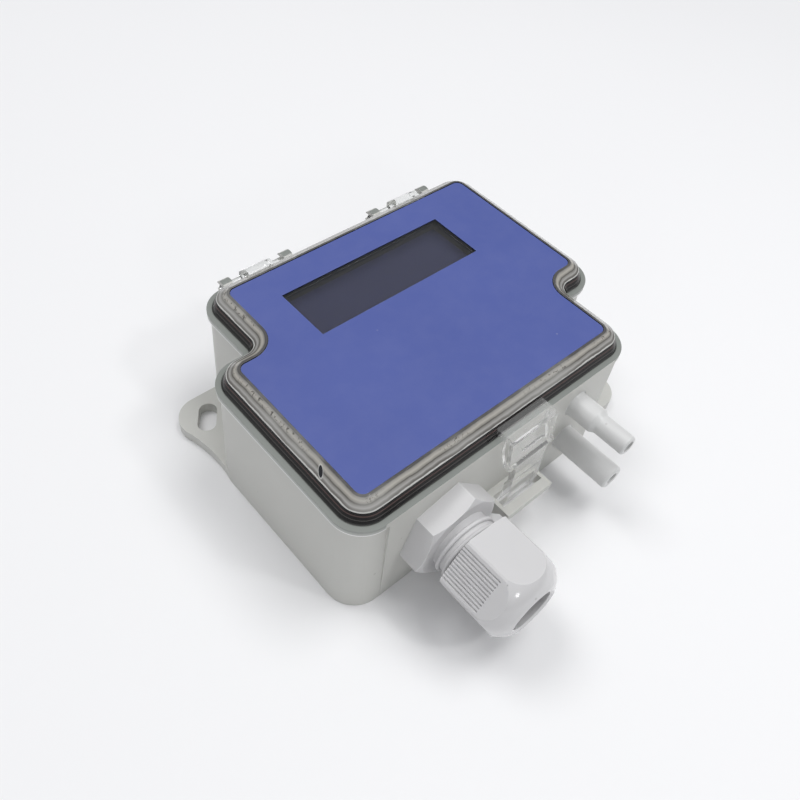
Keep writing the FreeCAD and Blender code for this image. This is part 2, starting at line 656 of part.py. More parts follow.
def nut_section():
    """Half section of the dome nut: straight skirt, then an arc in to the cable mouth."""
    inner_r = THREAD_R + NUT_CLEAR

    def at(radius, out):
        return V(radius, -out, 0)

    back_in = at(inner_r, NUT_BACK)
    back_out = at(NUT_R - NUT_CHAMFER, NUT_BACK)
    skirt = at(NUT_R, NUT_BACK + NUT_CHAMFER)
    dome = at(NUT_R, NUT_DOME_AT)
    bulge = at(NUT_DOME_R, NUT_DOME_MIDDLE)
    face_out = at(NUT_LIP_R, NUT_FRONT)
    face_in = at(NUT_MOUTH_R, NUT_FRONT - 0.4)
    mouth = at(NUT_MOUTH_R, NUT_FRONT - 2.2)
    inside_top = at(FINGER_R + 0.3, NUT_DOME_AT + 0.6)
    inside_turn = at(inner_r, NUT_DOME_AT - 1.2)
    edges = [
        Part.LineSegment(back_in, back_out).toShape(),
        Part.LineSegment(back_out, skirt).toShape(),
        Part.LineSegment(skirt, dome).toShape(),
        Part.Arc(dome, bulge, face_out).toShape(),
        Part.LineSegment(face_out, face_in).toShape(),
        Part.LineSegment(face_in, mouth).toShape(),
        Part.LineSegment(mouth, inside_top).toShape(),
        Part.LineSegment(inside_top, inside_turn).toShape(),
        Part.LineSegment(inside_turn, back_in).toShape(),
    ]
    return Part.Face(Part.Wire(edges))


def nut_sides():
    """Six-sided prism whose sides are plain and ribbed in turn."""
    reach = (NUT_BACK - 1, NUT_FRONT + 1)
    prism_all = rod(NUT_R + 1, 0, 0, reach)
    cuts = []
    for side in range(6):
        ribbed = side % 2 == 1
        flat = NUT_RIBBED if ribbed else NUT_PLAIN
        away = [box((flat, flat + NUT_R), (-reach[1], -reach[0]), (-NUT_R - 2, NUT_R + 2))]
        if ribbed:
            first = -RIB_PITCH * (RIB_GROOVES - 1) / 2
            for i in range(RIB_GROOVES):
                at = first + RIB_PITCH * i
                away.append(box((flat - RIB_GROOVE_DEPTH, flat + 1), (-NUT_DOME_AT - 0.2, -reach[0]),
                                (at - RIB_GROOVE / 2, at + RIB_GROOVE / 2)))
        for cut in away:
            cut.rotate(V(0, 0, 0), Y_AXIS, -(NUT_TURN + 60 * side))
        cuts += away
    return prism_all.cut(cuts)


def gland_dome_nut():
    nut = nut_section().revolve(V(0, 0, 0), Y_AXIS, 360).common(nut_sides())
    nut.translate(V(GLAND_X, FRONT_Y, GLAND_Z))
    return nut


# Pressure side

def port(z, tip_r):
    """Hose port: flange and barb inside the wall, spigot outside, stepped down if it has a tip."""
    inner = -INNER_FRONT_Y
    reach = PORT_REACH - FRONT_Y
    tip_start = reach - PORT_TIP_LENGTH
    spigot = [(0, inner), (PORT_SHANK_R, inner), (PORT_SHANK_R, -FRONT_Y), (PORT_R, -FRONT_Y),
              (PORT_R, tip_start - PORT_CONE), (tip_r, tip_start),
              (tip_r, reach - 0.4), (tip_r - 0.4, reach), (0, reach)]
    flange = rod(PORT_FLANGE_R, PORT_X, z, (inner - PORT_FLANGE_THICK, inner))
    barb_end = inner - PORT_FLANGE_THICK - BARB_LENGTH
    barb = [(0, barb_end), (BARB_R - 0.5, barb_end), (BARB_R, barb_end + 1.2), (BARB_R, inner), (0, inner)]
    bore = rod(PORT_BORE_R - 0.5, PORT_X, z, (barb_end - 1, inner))
    mouth = rod(PORT_BORE_R, PORT_X, z, (inner - 0.1, reach + 1))
    body = fuse(turned(spigot, PORT_X, z), flange, turned(barb, PORT_X, z))
    return body.cut([bore, mouth])


def pressure_sensor():
    """Sensing element on its feet, with one barb for each hose."""
    front = SENSOR_BACK - SENSOR_DEPTH
    x = (PORT_X - SENSOR_WIDTH / 2, PORT_X + SENSOR_WIDTH / 2)
    body = box(x, (front, SENSOR_BACK), (BOARD_TOP, SENSOR_TOP))
    waist = (PORT_LOW_Z + PORT_HIGH_Z) / 2
    for side in ((x[0] - 1, x[0] + 1.2), (x[1] - 1.2, x[1] + 1)):
        body = body.cut(box(side, (front - 1, SENSOR_BACK + 1), (waist - 2, waist + 2)))
    barbs = []
    bores = []
    for z in (PORT_LOW_Z, PORT_HIGH_Z):
        tip = -front + SENSOR_BARB
        barbs.append(turned([(0, -front - 1), (BARB_R, -front - 1), (BARB_R, tip - 1.2),
                             (BARB_R - 0.5, tip), (0, tip)], PORT_X, z))
        bores.append(rod(PORT_BORE_R - 0.5, PORT_X, z, (-front - 4, tip + 1)))
    return fuse(body, *barbs).cut(bores)


def hose(z):
    start = -(SENSOR_BACK - SENSOR_DEPTH) + 0.3
    end = -INNER_FRONT_Y - PORT_FLANGE_THICK - 0.3
    bore = BARB_R + HOSE_CLEAR
    return rod(bore + HOSE_WALL, PORT_X, z, (start, end)).cut(rod(bore, PORT_X, z, (start, end)))


# Boards

def board(x, y, z, holes, hole_r):
    """Glass-epoxy board with rounded corners and screw holes."""
    corners = [(x[0], y[0], BOARD_CORNER), (x[1], y[0], BOARD_CORNER),
               (x[1], y[1], BOARD_CORNER), (x[0], y[1], BOARD_CORNER)]
    drills = [Part.makeCylinder(hole_r, BOARD_THICK + 2, V(hx, hy, z - 1)) for hx, hy in holes]
    return prism(rounded_wire(corners, z), BOARD_THICK).cut(drills)


def standoff_points():
    return [(x, y) for x in (DISPLAY_X[0] + STANDOFF_INSET, DISPLAY_X[1] - STANDOFF_INSET)
            for y in STANDOFF_Y]


def board_screws():
    """Four pan-head screws that hold the main board on its bosses."""
    screws = []
    for x, y in BOSS_AT:
        head = Part.makeCylinder(SCREW_HEAD_R, SCREW_HEAD, V(x, y, BOARD_TOP))
        shank = Part.makeCylinder(SCREW_SHANK_R, SCREW_LENGTH + BOARD_THICK,
                                  V(x, y, BOARD_TOP - SCREW_LENGTH - BOARD_THICK))
        drive = box((x - SCREW_HEAD_R, x + SCREW_HEAD_R), (y - DRIVE_SLOT / 2, y + DRIVE_SLOT / 2),
                    (BOARD_TOP + SCREW_HEAD / 2, BOARD_TOP + SCREW_HEAD + 1))
        screws.append(head.fuse(shank).cut(drive))
    return Part.makeCompound(screws)


def display_standoffs():
    height = DISPLAY_Z - BOARD_TOP
    posts = [Part.makeCylinder(STANDOFF_R, height, V(x, y, BOARD_TOP)) for x, y in standoff_points()]
    return Part.makeCompound(posts)


def display_header():
    """Long pin row that joins the two boards: a bar at each end and the pins between."""
    x, _ = WINDOW_AT
    length = HEADER_PITCH * HEADER_PINS
    row = (x - length / 2, x + length / 2)
    y = (HEADER_Y - HEADER_DEPTH / 2, HEADER_Y + HEADER_DEPTH / 2)
    low = box(row, y, (BOARD_TOP, BOARD_TOP + HEADER_DEPTH))
    high = box(row, y, (DISPLAY_Z - HEADER_DEPTH, DISPLAY_Z))
    pins = []
    for i in range(HEADER_PINS):
        pin_x = row[0] + HEADER_PITCH * (i + 0.5)
        pins.append(box((pin_x - PIN_HALF, pin_x + PIN_HALF), (HEADER_Y - PIN_HALF, HEADER_Y + PIN_HALF),
                        (BOARD_TOP, DISPLAY_Z)))
    return fuse(low, high, *pins)


def lcd_heights():
    """Top of the bezel under the lid, and top of the glass inside it."""
    bezel_top = PLATE_UNDER_Z - BEZEL_TO_LID
    return bezel_top, bezel_top - LCD_DEPTH


def lcd_bezel():
    """Black frame that carries the glass and shades the window's sides."""
    x, y = WINDOW_AT
    top, glass_top = lcd_heights()
    half_x = WINDOW_WIDTH / 2
    half_y = WINDOW_HEIGHT / 2
    low = DISPLAY_Z + BOARD_THICK
    frame = box((x - half_x - BEZEL_WALL_X, x + half_x + BEZEL_WALL_X),
                (y - half_y - BEZEL_WALL_Y, y + half_y + BEZEL_WALL_Y), (low, top))
    window = box((x - half_x, x + half_x), (y - half_y, y + half_y), (low - 1, top + 1))
    pocket = box((x - half_x - LCD_EDGE, x + half_x + LCD_EDGE),
                 (y - half_y - LCD_EDGE, y + half_y + LCD_EDGE), (low - 1, glass_top))
    return frame.cut([window, pocket])


def lcd_panel():
    """Glass of the two-line display, on a light guide that stands on its board."""
    x, y = WINDOW_AT
    _, top = lcd_heights()
    half_x = WINDOW_WIDTH / 2 + LCD_EDGE - SEAL_CLEAR
    half_y = WINDOW_HEIGHT / 2 + LCD_EDGE - SEAL_CLEAR
    glass = box((x - half_x, x + half_x), (y - half_y, y + half_y), (top - LCD_THICK, top))
    guide = box((x - half_x + 2, x + half_x - 2), (y - half_y + 1, y + half_y - 1),
                (DISPLAY_Z + BOARD_THICK, top - LCD_THICK))
    return fuse(glass, guide)


def terminal_centres():
    return [TERMINAL_X + TERMINAL_PITCH * (i + 0.5) for i in range(TERMINAL_POLES)]


def terminal_block():
    """Screw terminals: sloped back, a wire mouth and a screw shaft for each pole."""
    back = TERMINAL_FRONT + TERMINAL_DEPTH
    top = BOARD_TOP + TERMINAL_HEIGHT
    x = (TERMINAL_X, TERMINAL_X + TERMINAL_PITCH * TERMINAL_POLES)
    outline = [(TERMINAL_FRONT, BOARD_TOP), (TERMINAL_FRONT, top - 1.0), (TERMINAL_FRONT + 1.0, top),
               (back - TERMINAL_CHAMFER, top), (back, top - 2 * TERMINAL_CHAMFER), (back, BOARD_TOP)]
    body = side_profile(outline, x)
    middle = TERMINAL_FRONT + TERMINAL_DEPTH / 2 - 0.5
    cuts = []
    for centre in terminal_centres():
        cuts.append(box((centre - WIRE_WIDTH / 2, centre + WIRE_WIDTH / 2),
                        (TERMINAL_FRONT - 1, TERMINAL_FRONT + WIRE_DEPTH),
                        (BOARD_TOP + 1.2, BOARD_TOP + 1.2 + WIRE_HEIGHT)))
        cuts.append(Part.makeCylinder(TERMINAL_SCREW_R + TERMINAL_SCREW_CLEAR, TERMINAL_HEIGHT,
                                      V(centre, middle, BOARD_TOP + 1.2 + WIRE_HEIGHT)))
    return body.cut(cuts)


def terminal_screw(centre):
    middle = TERMINAL_FRONT + TERMINAL_DEPTH / 2 - 0.5
    top = BOARD_TOP + TERMINAL_HEIGHT - 0.5
    screw = Part.makeCylinder(TERMINAL_SCREW_R, TERMINAL_SCREW_LENGTH,
                              V(centre, middle, top - TERMINAL_SCREW_LENGTH))
    drive = box((centre - TERMINAL_SCREW_R - 1, centre + TERMINAL_SCREW_R + 1),
                (middle - DRIVE_SLOT / 2, middle + DRIVE_SLOT / 2), (top - 1.0, top + 1))
    return screw.cut(drive)


def switch_body():
    """Square push switch with a round well for its button."""
    x, y = BUTTON_AT
    half = SWITCH_SIZE / 2
    body = box((x - half, x + half), (y - half, y + half), (BOARD_TOP, BOARD_TOP + SWITCH_HEIGHT))
    floor = BOARD_TOP + SWITCH_HEIGHT - BUTTON_SEAT - 0.6
    well = Part.makeCylinder(BUTTON_R + BUTTON_CLEAR, SWITCH_HEIGHT, V(x, y, floor))
    return body.cut(well)


def zero_button():
    x, y = BUTTON_AT
    low = BOARD_TOP + SWITCH_HEIGHT - BUTTON_SEAT
    button = Part.makeCylinder(BUTTON_R, BUTTON_SEAT + BUTTON_RISE, V(x, y, low))
    top_edges = [edge for edge in button.Edges if edge.BoundBox.ZMin > low + 1]
    return button.makeChamfer(0.3, top_edges)


def range_header():
    """Two rows of pins that select the measuring range."""
    x, y = JUMPER_AT
    half = HEADER_PITCH * JUMPER_COLUMNS / 2
    base = box((x - half, x + half), (y - HEADER_PITCH, y + HEADER_PITCH), (BOARD_TOP, BOARD_TOP + JUMPER_BASE))
    pins = []
    for column in range(JUMPER_COLUMNS):
        for row in (-0.5, 0.5):
            px = x - half + HEADER_PITCH * (column + 0.5)
            py = y + HEADER_PITCH * row
            pins.append(box((px - PIN_HALF, px + PIN_HALF), (py - PIN_HALF, py + PIN_HALF),
                            (BOARD_TOP, BOARD_TOP + JUMPER_BASE + JUMPER_PIN)))
    return fuse(base, *pins)


def range_jumpers():
    """Two push-on links, one on each outer pair of pins."""
    x, y = JUMPER_AT
    low = BOARD_TOP + JUMPER_BASE
    caps = []
    for column in (-1, 1):
        cx = x + HEADER_PITCH * column
        half = HEADER_PITCH / 2 - 0.1
        cap = box((cx - half, cx + half), (y - HEADER_PITCH, y + HEADER_PITCH), (low, low + JUMPER_CAP))
        wells = []
        for row in (-0.5, 0.5):
            py = y + HEADER_PITCH * row
            reach = PIN_HALF + HOSE_CLEAR
            wells.append(box((cx - reach, cx + reach), (py - reach, py + reach), (low - 1, low + JUMPER_CAP + 1)))
        caps.append(cap.cut(wells))
    return Part.makeCompound(caps)


def controller_chip():
    x, y = CHIP_AT
    half = CHIP_SIZE / 2
    body = box((x - half, x + half), (y - half, y + half), (BOARD_TOP + 0.1, BOARD_TOP + 0.1 + CHIP_THICK))
    legs = []
    for i in range(8):
        offset = -half + CHIP_SIZE * (i + 0.5) / 8
        for side in (-1, 1):
            edge = sorted((side * (half - 0.2), side * (half + 1.0)))
            legs.append(box((x + offset - 0.2, x + offset + 0.2), (y + edge[0], y + edge[1]),
                            (BOARD_TOP, BOARD_TOP + 0.4)))
    return fuse(body, *legs)


def capacitors():
    """Two electrolytic cans, each with a pressed groove near its foot."""
    cans = []
    for x, y in CAPACITOR_AT:
        profile = [(0, 0), (CAPACITOR_R, 0), (CAPACITOR_R, 1.0), (CAPACITOR_R - 0.3, 1.4), (CAPACITOR_R, 1.8),
                   (CAPACITOR_R, CAPACITOR_HEIGHT - 0.4), (CAPACITOR_R - 0.4, CAPACITOR_HEIGHT),
                   (0, CAPACITOR_HEIGHT)]
        outline = [V(x + radius, y, BOARD_TOP + height) for radius, height in profile]
        face = Part.Face(Part.makePolygon(outline + outline[:1]))
        cans.append(face.revolve(V(x, y, 0), Z_AXIS, 360))
    return Part.makeCompound(cans)


def pieces():
    """Every separate piece, by the name of its node."""
    parts = {
        "case_base": case_base(),
        "fixing_ears": fixing_ears(),
        "lid_gasket": lid_gasket(),
        "clear_lid": clear_lid(),
        "window_label": window_label(),
        "gland_body": gland_body(),
        "gland_washer": gland_washer(),
        "gland_lock_nut": gland_lock_nut(),
        "gland_seal": gland_seal(),
        "gland_dome_nut": gland_dome_nut(),
        "port_lower": port(PORT_LOW_Z, PORT_R),
        "port_upper": port(PORT_HIGH_Z, PORT_TIP_R),
        "pressure_sensor": pressure_sensor(),
        "hose_lower": hose(PORT_LOW_Z),
        "hose_upper": hose(PORT_HIGH_Z),
        "main_board": board(BOARD_X, BOARD_Y, BOARD_Z, BOSS_AT, SCREW_SHANK_R + 0.1),
        "board_screws": board_screws(),
        "display_board": board(DISPLAY_X, DISPLAY_Y, DISPLAY_Z, (), 1.0),
        "display_standoffs": display_standoffs(),
        "display_header": display_header(),
        "lcd_bezel": lcd_bezel(),
        "lcd_panel": lcd_panel(),
        "terminal_block": terminal_block(),
        "switch_body": switch_body(),
        "zero_button": zero_button(),
        "range_header": range_header(),
        "range_jumpers": range_jumpers(),
        "controller_chip": controller_chip(),
        "capacitors": capacitors(),
    }
    for number, centre in enumerate(terminal_centres(), start=1):
        parts["terminal_screw_%d" % number] = terminal_screw(centre)
    return parts


def main():
    os.makedirs("parts", exist_ok=True)
    for name, shape in pieces().items():
        shape.exportStep("parts/%s.step" % name)
        print("%-20s %2d solid(s) %9.1f mm3 valid %s" % (name, len(shape.Solids), shape.Volume, shape.isValid()))


main()
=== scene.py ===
from math import cos, pi, radians, sin

import bmesh
import bpy
from mathutils import Matrix, Vector


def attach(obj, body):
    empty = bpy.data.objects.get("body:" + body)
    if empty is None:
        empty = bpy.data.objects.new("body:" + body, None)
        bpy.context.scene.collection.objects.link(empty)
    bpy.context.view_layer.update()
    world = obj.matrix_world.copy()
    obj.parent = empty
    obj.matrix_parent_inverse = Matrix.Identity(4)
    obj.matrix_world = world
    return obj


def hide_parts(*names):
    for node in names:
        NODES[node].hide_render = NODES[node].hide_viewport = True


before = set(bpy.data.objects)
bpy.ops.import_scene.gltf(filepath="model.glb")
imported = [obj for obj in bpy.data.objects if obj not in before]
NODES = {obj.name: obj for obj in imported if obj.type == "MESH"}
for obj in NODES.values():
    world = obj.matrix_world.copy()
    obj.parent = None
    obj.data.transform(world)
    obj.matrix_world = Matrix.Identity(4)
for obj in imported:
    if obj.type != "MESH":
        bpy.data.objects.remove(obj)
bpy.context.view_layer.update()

MM = 0.001

# Case and lid in mm, as in the model. An inset is measured inwards from the case's outline,
# a slack is how much lower a face may be and still count as the ledge or the rim.
CASE_HALF_WIDTH = 47.5
CASE_HALF_HEIGHT = 35.75
STEP = 10.9
STEP_Y = 15.6
CORNER_R = 7.4
STEP_INNER_R = 0.8
ARC_STEPS = 14
RIM_TOP = 31.4
RIM_LOW = 29.9
LEDGE_SLACK = 0.05
RIM_SLACK = 0.25
INSIDE = 3.0
LID_LOW = 31.6
LID_TOP = 36.0
LID_BACK_Y = 34.7
SHOULDER_Z = 34.15
RECESS_Z = 35.8
CHANNEL_INSET = 2.7
CHANNEL_TOP = 33.68
CORNER_REACH = 8.0
LATCH_ROOT_Y = -34.7
LATCH_X = (-9.0, 6.0)
HINGE_FROM_Y = 35.0
HINGE_CLEAR_X = 6.0

# How far the faces that take another finish look up (z) or forward (y), as parts of a normal
LEDGE_UP = 0.9
BEVEL_UP = (0.6, 0.97)
DOME_FORWARD = -0.12

# Finishes: the colour of settled dust, and how strongly the specks of a moulding show
DUST_COLOUR = (0.62, 0.61, 0.58)
SPECK_SHARE = 0.35

# Marks of the lid's bevel in mm: heights where the specks start, are full, thin out and end,
# heights of the painted shade line by the label, then place, turn, stretch and radii of the one
# long mark
SPECKS_Z = (35.1, 35.4, 35.7, 35.95)
LABEL_SHADE_Z = (35.88, 35.97)
MARK_AT = (-43.9, -20.5, 35.0)
MARK_TURN = -56.0
MARK_SHAPE = (0.8, 2.3, 0.3)
MARK_R = (0.85, 1.00)
HALO_R = (1.08, 1.22)

# Seal in mm: insets of the cord and of what fills the channel, the lip's reach, the thin line
# (which also takes a painted highlight at the front)
SEAL_CORD = (2.85, 4.05)
SEAL_FILL = (2.62, 4.42)
SEAL_SINK = 0.3
SEAL_LINE = (32.45, 32.62)
LIP_INSET = 1.35
LIP_CLEAR = 0.03

# Cable gland in mm: its axis, the neck that is turned down, and the thread wound on it
GLAND_X = -23.5
GLAND_Z = 16.2
NECK_FROM_Y = -41.4
NECK_R = (7.8, 8.0)
NECK_ROOT_R = 7.2
THREAD_FROM_Y = -42.0
THREAD_TURNS = 4.8
THREAD_R = 7.4
THREAD_LENGTH = 9.3
THREAD_CREST = 0.5

# Main board in mm: its top, the small parts, and the middle, columns and rows of each field
BOARD_TOP = 7.6
PART_BODY = (1.3, 0.85, 0.50)
PART_FOOT = (1.8, 0.75, 0.36)
PART_PITCH = (2.5, 2.3)
PART_KEEP = 0.72
PART_SEED = 10
PART_FIELDS = ((-5.0, -20.0, 3, 4), (16.5, -20.5, 7, 4), (-20.5, -4.0, 3, 3))

# Meshes: what counts as one point in metres, in the model's shapes and in grown ones, and the
# angles in degrees up to which faces are one plane, from which edges are rounded, or stay sharp
SAME_POINT = 2e-6
SAME_GROWN_POINT = 1e-7
SAME_PLANE = 0.6
ROUND_FROM = 28
SHARP_FROM = 40

# Studio in metres: where the floor fades to white, and each lamp's place, target, size and power
FLOOR_SIZE = 2.0
FLOOR_DROP = 0.00005
FLOOR_FADE = (0.30, 0.75)
LAMPS = (
    ("top_key", (0.28, -0.12, 0.85), (0, 0, 0.015), 0.45, 2.75),
    ("back_key", (-0.12, 0.36, 0.80), (0, 0, 0.015), 0.40, 2.2),
    ("front_fill", (-0.17, -0.55, 0.34), (-0.02, -0.06, 0.015), 0.10, 0.22),
    ("right_glint", (0.15, -0.36, 0.49), (-0.02, -0.06, 0.015), 0.07, 0.40),
    ("left_glint", (-0.55, -0.28, 0.24), (0, -0.05, 0.015), 0.12, 0.15),
)

# Camera: place in metres, its three axes, lens and film width in mm
CAMERA_AT = (-0.097449, -0.086551, 0.161144)
CAMERA_RIGHT = (0.7455, -0.6601, 0.0904)
CAMERA_UP = (0.4704, 0.6175, 0.6307)
CAMERA_BACK = (-0.4722, -0.4277, 0.7708)
CAMERA_LENS = 35.69
CAMERA_FILM = 36.0


# Node helpers

def add(tree, kind, links=(), **settings):
    """A node with its settings, its inputs linked from sockets or set to values."""
    node = tree.nodes.new(kind)
    for key, value in settings.items():
        setattr(node, key, value)
    for where, what in dict(links).items():
        if isinstance(what, bpy.types.NodeSocket):
            tree.links.new(what, node.inputs[where])
        else:
            node.inputs[where].default_value = what
    return node


def use(tree, group, values=()):
    """A shader group placed in a material, its inputs set to values."""
    node = add(tree, "ShaderNodeGroup", (), node_tree=group)
    for where, what in dict(values).items():
        node.inputs[where].default_value = what
    return node


def mixed(tree, share, first, second):
    """Colour mix: share of the second colour over the first."""
    node = add(tree, "ShaderNodeMix", (), data_type="RGBA")
    for index, what in ((0, share), (6, first), (7, second)):
        if isinstance(what, bpy.types.NodeSocket):
            tree.links.new(what, node.inputs[index])
        elif index == 0:
            node.inputs[index].default_value = what
        else:
            node.inputs[index].default_value = (*what, 1.0)
    return node.outputs[2]


def scaled(tree, value, factor, base=0.0):
    """Value times a factor, plus a base."""
    return add(tree, "ShaderNodeMath", {0: value, 1: factor, 2: base},
               operation="MULTIPLY_ADD").outputs[0]


def product(tree, first, second):
    return add(tree, "ShaderNodeMath", {0: first, 1: second}, operation="MULTIPLY").outputs[0]


def total(tree, first, second):
    return add(tree, "ShaderNodeMath", {0: first, 1: second}, operation="ADD").outputs[0]


def between(tree, value, low, high):
    """Goes from 0 to 1 as the value goes from low to high, where low may be the larger one."""
    return add(tree, "ShaderNodeMapRange", {"Value": value, "From Min": low,
                                            "From Max": high}).outputs[0]


def place_of(tree):
    """Place on the object, the same for every pattern."""
    return add(tree, "ShaderNodeTexCoord").outputs["Object"]


def noise(tree, place, scale, detail=2.0, **more):
    """Noise value; more gives its other settings by their names."""
    settings = {"Vector": place, "Scale": scale, "Detail": detail}
    settings.update({name.title(): value for name, value in more.items()})
    return add(tree, "ShaderNodeTexNoise", settings).outputs["Fac"]


def ramp(tree, value, stops):
    """Colour that follows a value over (place, colour) stops."""
    node = add(tree, "ShaderNodeValToRGB", {"Fac": value})
    marks = node.color_ramp.elements
    while len(marks) < len(stops):
        marks.new(1.0)
    for mark, (place, colour) in zip(marks, stops):
        mark.position = place
        mark.color = (*colour, 1.0)
    return node.outputs["Color"]


def along_z(tree, low, high):
    """Goes from 0 to 1 between two heights in mm, where low may be the higher one."""
    parts = add(tree, "ShaderNodeSeparateXYZ", {0: place_of(tree)})
    return between(tree, parts.outputs["Z"], low * MM, high * MM)


# Shader effects, each built once

def new_group(name, inputs, outputs):
    """Empty shader group with its sockets; gives the tree, its input node and its output node."""
    tree = bpy.data.node_groups.new(name, "ShaderNodeTree")
    for label, kind, value in inputs:
        socket = tree.interface.new_socket(name=label, in_out="INPUT", socket_type=kind)
        socket.default_value = value
    for label in outputs:
        tree.interface.new_socket(name=label, in_out="OUTPUT", socket_type="NodeSocketFloat")
    return tree, tree.nodes.new("NodeGroupInput"), tree.nodes.new("NodeGroupOutput")


def moulding_marks():
    """Slow mottle, fine grain and rare specks of a moulded surface."""
    tree, source, sink = new_group("moulding_marks", [("Grain Scale", "NodeSocketFloat", 900.0)],
                                   ["Mottle", "Grain", "Specks"])
    place = place_of(tree)
    slow = noise(tree, place, 38.0, 3.0, roughness=0.55)
    fine = noise(tree, place, source.outputs["Grain Scale"], 3.0, roughness=0.6)
    dots = add(tree, "ShaderNodeTexVoronoi", {"Vector": place, "Scale": 260.0, "Randomness": 1.0})
    rare = noise(tree, place, 120.0, 1.0)
    dot_mask = between(tree, dots.outputs["Distance"], 0.10, 0.04)
    few = between(tree, rare, 0.64, 0.68)
    tree.links.new(slow, sink.inputs["Mottle"])
    tree.links.new(fine, sink.inputs["Grain"])
    tree.links.new(product(tree, dot_mask, few), sink.inputs["Specks"])
    return tree


def rubbed_edges():
    """Mask of the outer edges, broken up by noise."""
    tree, source, sink = new_group("rubbed_edges", [("Reach", "NodeSocketFloat", 0.0003)], ["Mask"])
    place = place_of(tree)
    normal = add(tree, "ShaderNodeNewGeometry").outputs["Normal"]
    rounded = add(tree, "ShaderNodeBevel", {"Radius": source.outputs["Reach"]}, samples=4)
    turn = add(tree, "ShaderNodeVectorMath", {0: rounded.outputs[0], 1: normal},
               operation="DOT_PRODUCT")
    edge = between(tree, turn.outputs["Value"], 0.995, 0.90)
    broken = between(tree, noise(tree, place, 320.0), 0.36, 0.62)
    tree.links.new(product(tree, edge, broken), sink.inputs["Mask"])
    return tree


def settled_dust():
    """Thin dust where a face looks up."""
    tree, _, sink = new_group("settled_dust", [], ["Mask"])
    place = place_of(tree)
    normal = add(tree, "ShaderNodeNewGeometry").outputs["Normal"]
    up = add(tree, "ShaderNodeSeparateXYZ", {0: normal})
    lie = between(tree, up.outputs["Z"], 0.3, 0.95)
    thin = between(tree, noise(tree, place, 150.0, 5.0, roughness=0.7), 0.42, 0.75)
    tree.links.new(product(tree, lie, thin), sink.inputs["Mask"])
    return tree


MARKS = moulding_marks()
EDGES = rubbed_edges()
DUST = settled_dust()


# Materials

def begun(name, grain):
    """New material: itself, its tree, its shader and its moulding marks."""
    made = bpy.data.materials.new(name)
    made.use_nodes = True
    tree = made.node_tree
    return made, tree, tree.nodes["Principled BSDF"], use(tree, MARKS, {"Grain Scale": grain})


def relieved(tree, shader, height, strength, distance=0.0002):
    """Fine relief of a material."""
    relief = add(tree, "ShaderNodeBump", {"Strength": strength, "Distance": distance,
                                          "Height": height})
    tree.links.new(relief.outputs[0], shader.inputs["Normal"])


def lets_light_in(tree, shader, share):
    """Lets a share of the light through a clear piece onto what is behind it."""
    path = add(tree, "ShaderNodeLightPath")
    lit = add(tree, "ShaderNodeMath", {0: path.outputs["Is Shadow Ray"],
                                       1: path.outputs["Is Diffuse Ray"]}, operation="MAXIMUM")
    tree.links.new(scaled(tree, lit.outputs[0], -share, 1.0), shader.inputs["Alpha"])


def material(name, dark, light, rough, grain=900.0, bump=0.05, edge=None, edge_share=0.4,
             dust=0.0, metal=0.0, coat=0.0, spread=0.08, speck=(0.2, 0.19, 0.18), sheen=0.0,
             shine=0.5):
    """Procedural finish: mottled colour, grain in gloss and relief, rubbed edges, dust, specks.

    Grain is the scale of the relief and bump its strength, spread the range of the roughness,
    shine the specular level.
    """
    made, tree, shader, marks = begun(name, grain)
    colour = mixed(tree, marks.outputs["Mottle"], dark, light)
    if edge:
        rubbed = use(tree, EDGES)
        colour = mixed(tree, scaled(tree, rubbed.outputs["Mask"], edge_share), colour, edge)
    if dust:
        lying = use(tree, DUST)
        colour = mixed(tree, scaled(tree, lying.outputs["Mask"], dust), colour, DUST_COLOUR)
    colour = mixed(tree, scaled(tree, marks.outputs["Specks"], SPECK_SHARE), colour, speck)
    tree.links.new(colour, shader.inputs["Base Color"])
    gloss = scaled(tree, marks.outputs["Mottle"], spread, rough - spread / 2)
    if dust:
        gloss = scaled(tree, lying.outputs["Mask"], dust, gloss)
    tree.links.new(gloss, shader.inputs["Roughness"])
    relieved(tree, shader, marks.outputs["Grain"], bump)
    shader.inputs["Metallic"].default_value = metal
    shader.inputs["Coat Weight"].default_value = coat
    shader.inputs["Sheen Weight"].default_value = sheen
    shader.inputs["Specular IOR Level"].default_value = shine
    return made


def lid_clear():
    """Clear plastic of the lid."""
    made, tree, shader, marks = begun("lid_clear", 220.0)
    tint = (0.93, 0.94, 0.93)
    colour = mixed(tree, marks.outputs["Mottle"], [0.96 * part for part in tint], tint)
    tree.links.new(colour, shader.inputs["Base Color"])
    tree.links.new(scaled(tree, marks.outputs["Mottle"], 0.03, 0.035), shader.inputs["Roughness"])
    relieved(tree, shader, marks.outputs["Mottle"], 0.006)
    lets_light_in(tree, shader, 0.92)
    shader.inputs["Transmission Weight"].default_value = 1.0
    shader.inputs["IOR"].default_value = 1.45
    return made


def bevel_painted_lines(tree, height):
    """Painted highlight and shade lines that follow the lid's edge, from the shoulder up to the
    label.
    """
    return ramp(tree, height, [
        (0.00, (0.50, 0.49, 0.47)), (0.07, (0.86, 0.86, 0.83)), (0.13, (0.15, 0.14, 0.13)),
        (0.21, (0.20, 0.19, 0.175)), (0.32, (0.50, 0.49, 0.47)), (0.45, (0.34, 0.33, 0.31)),
        (0.54, (0.12, 0.11, 0.095)), (0.60, (0.36, 0.345, 0.315)), (0.74, (0.60, 0.57, 0.51)),
        (0.90, (0.40, 0.385, 0.36)), (1.00, (0.16, 0.155, 0.15))])


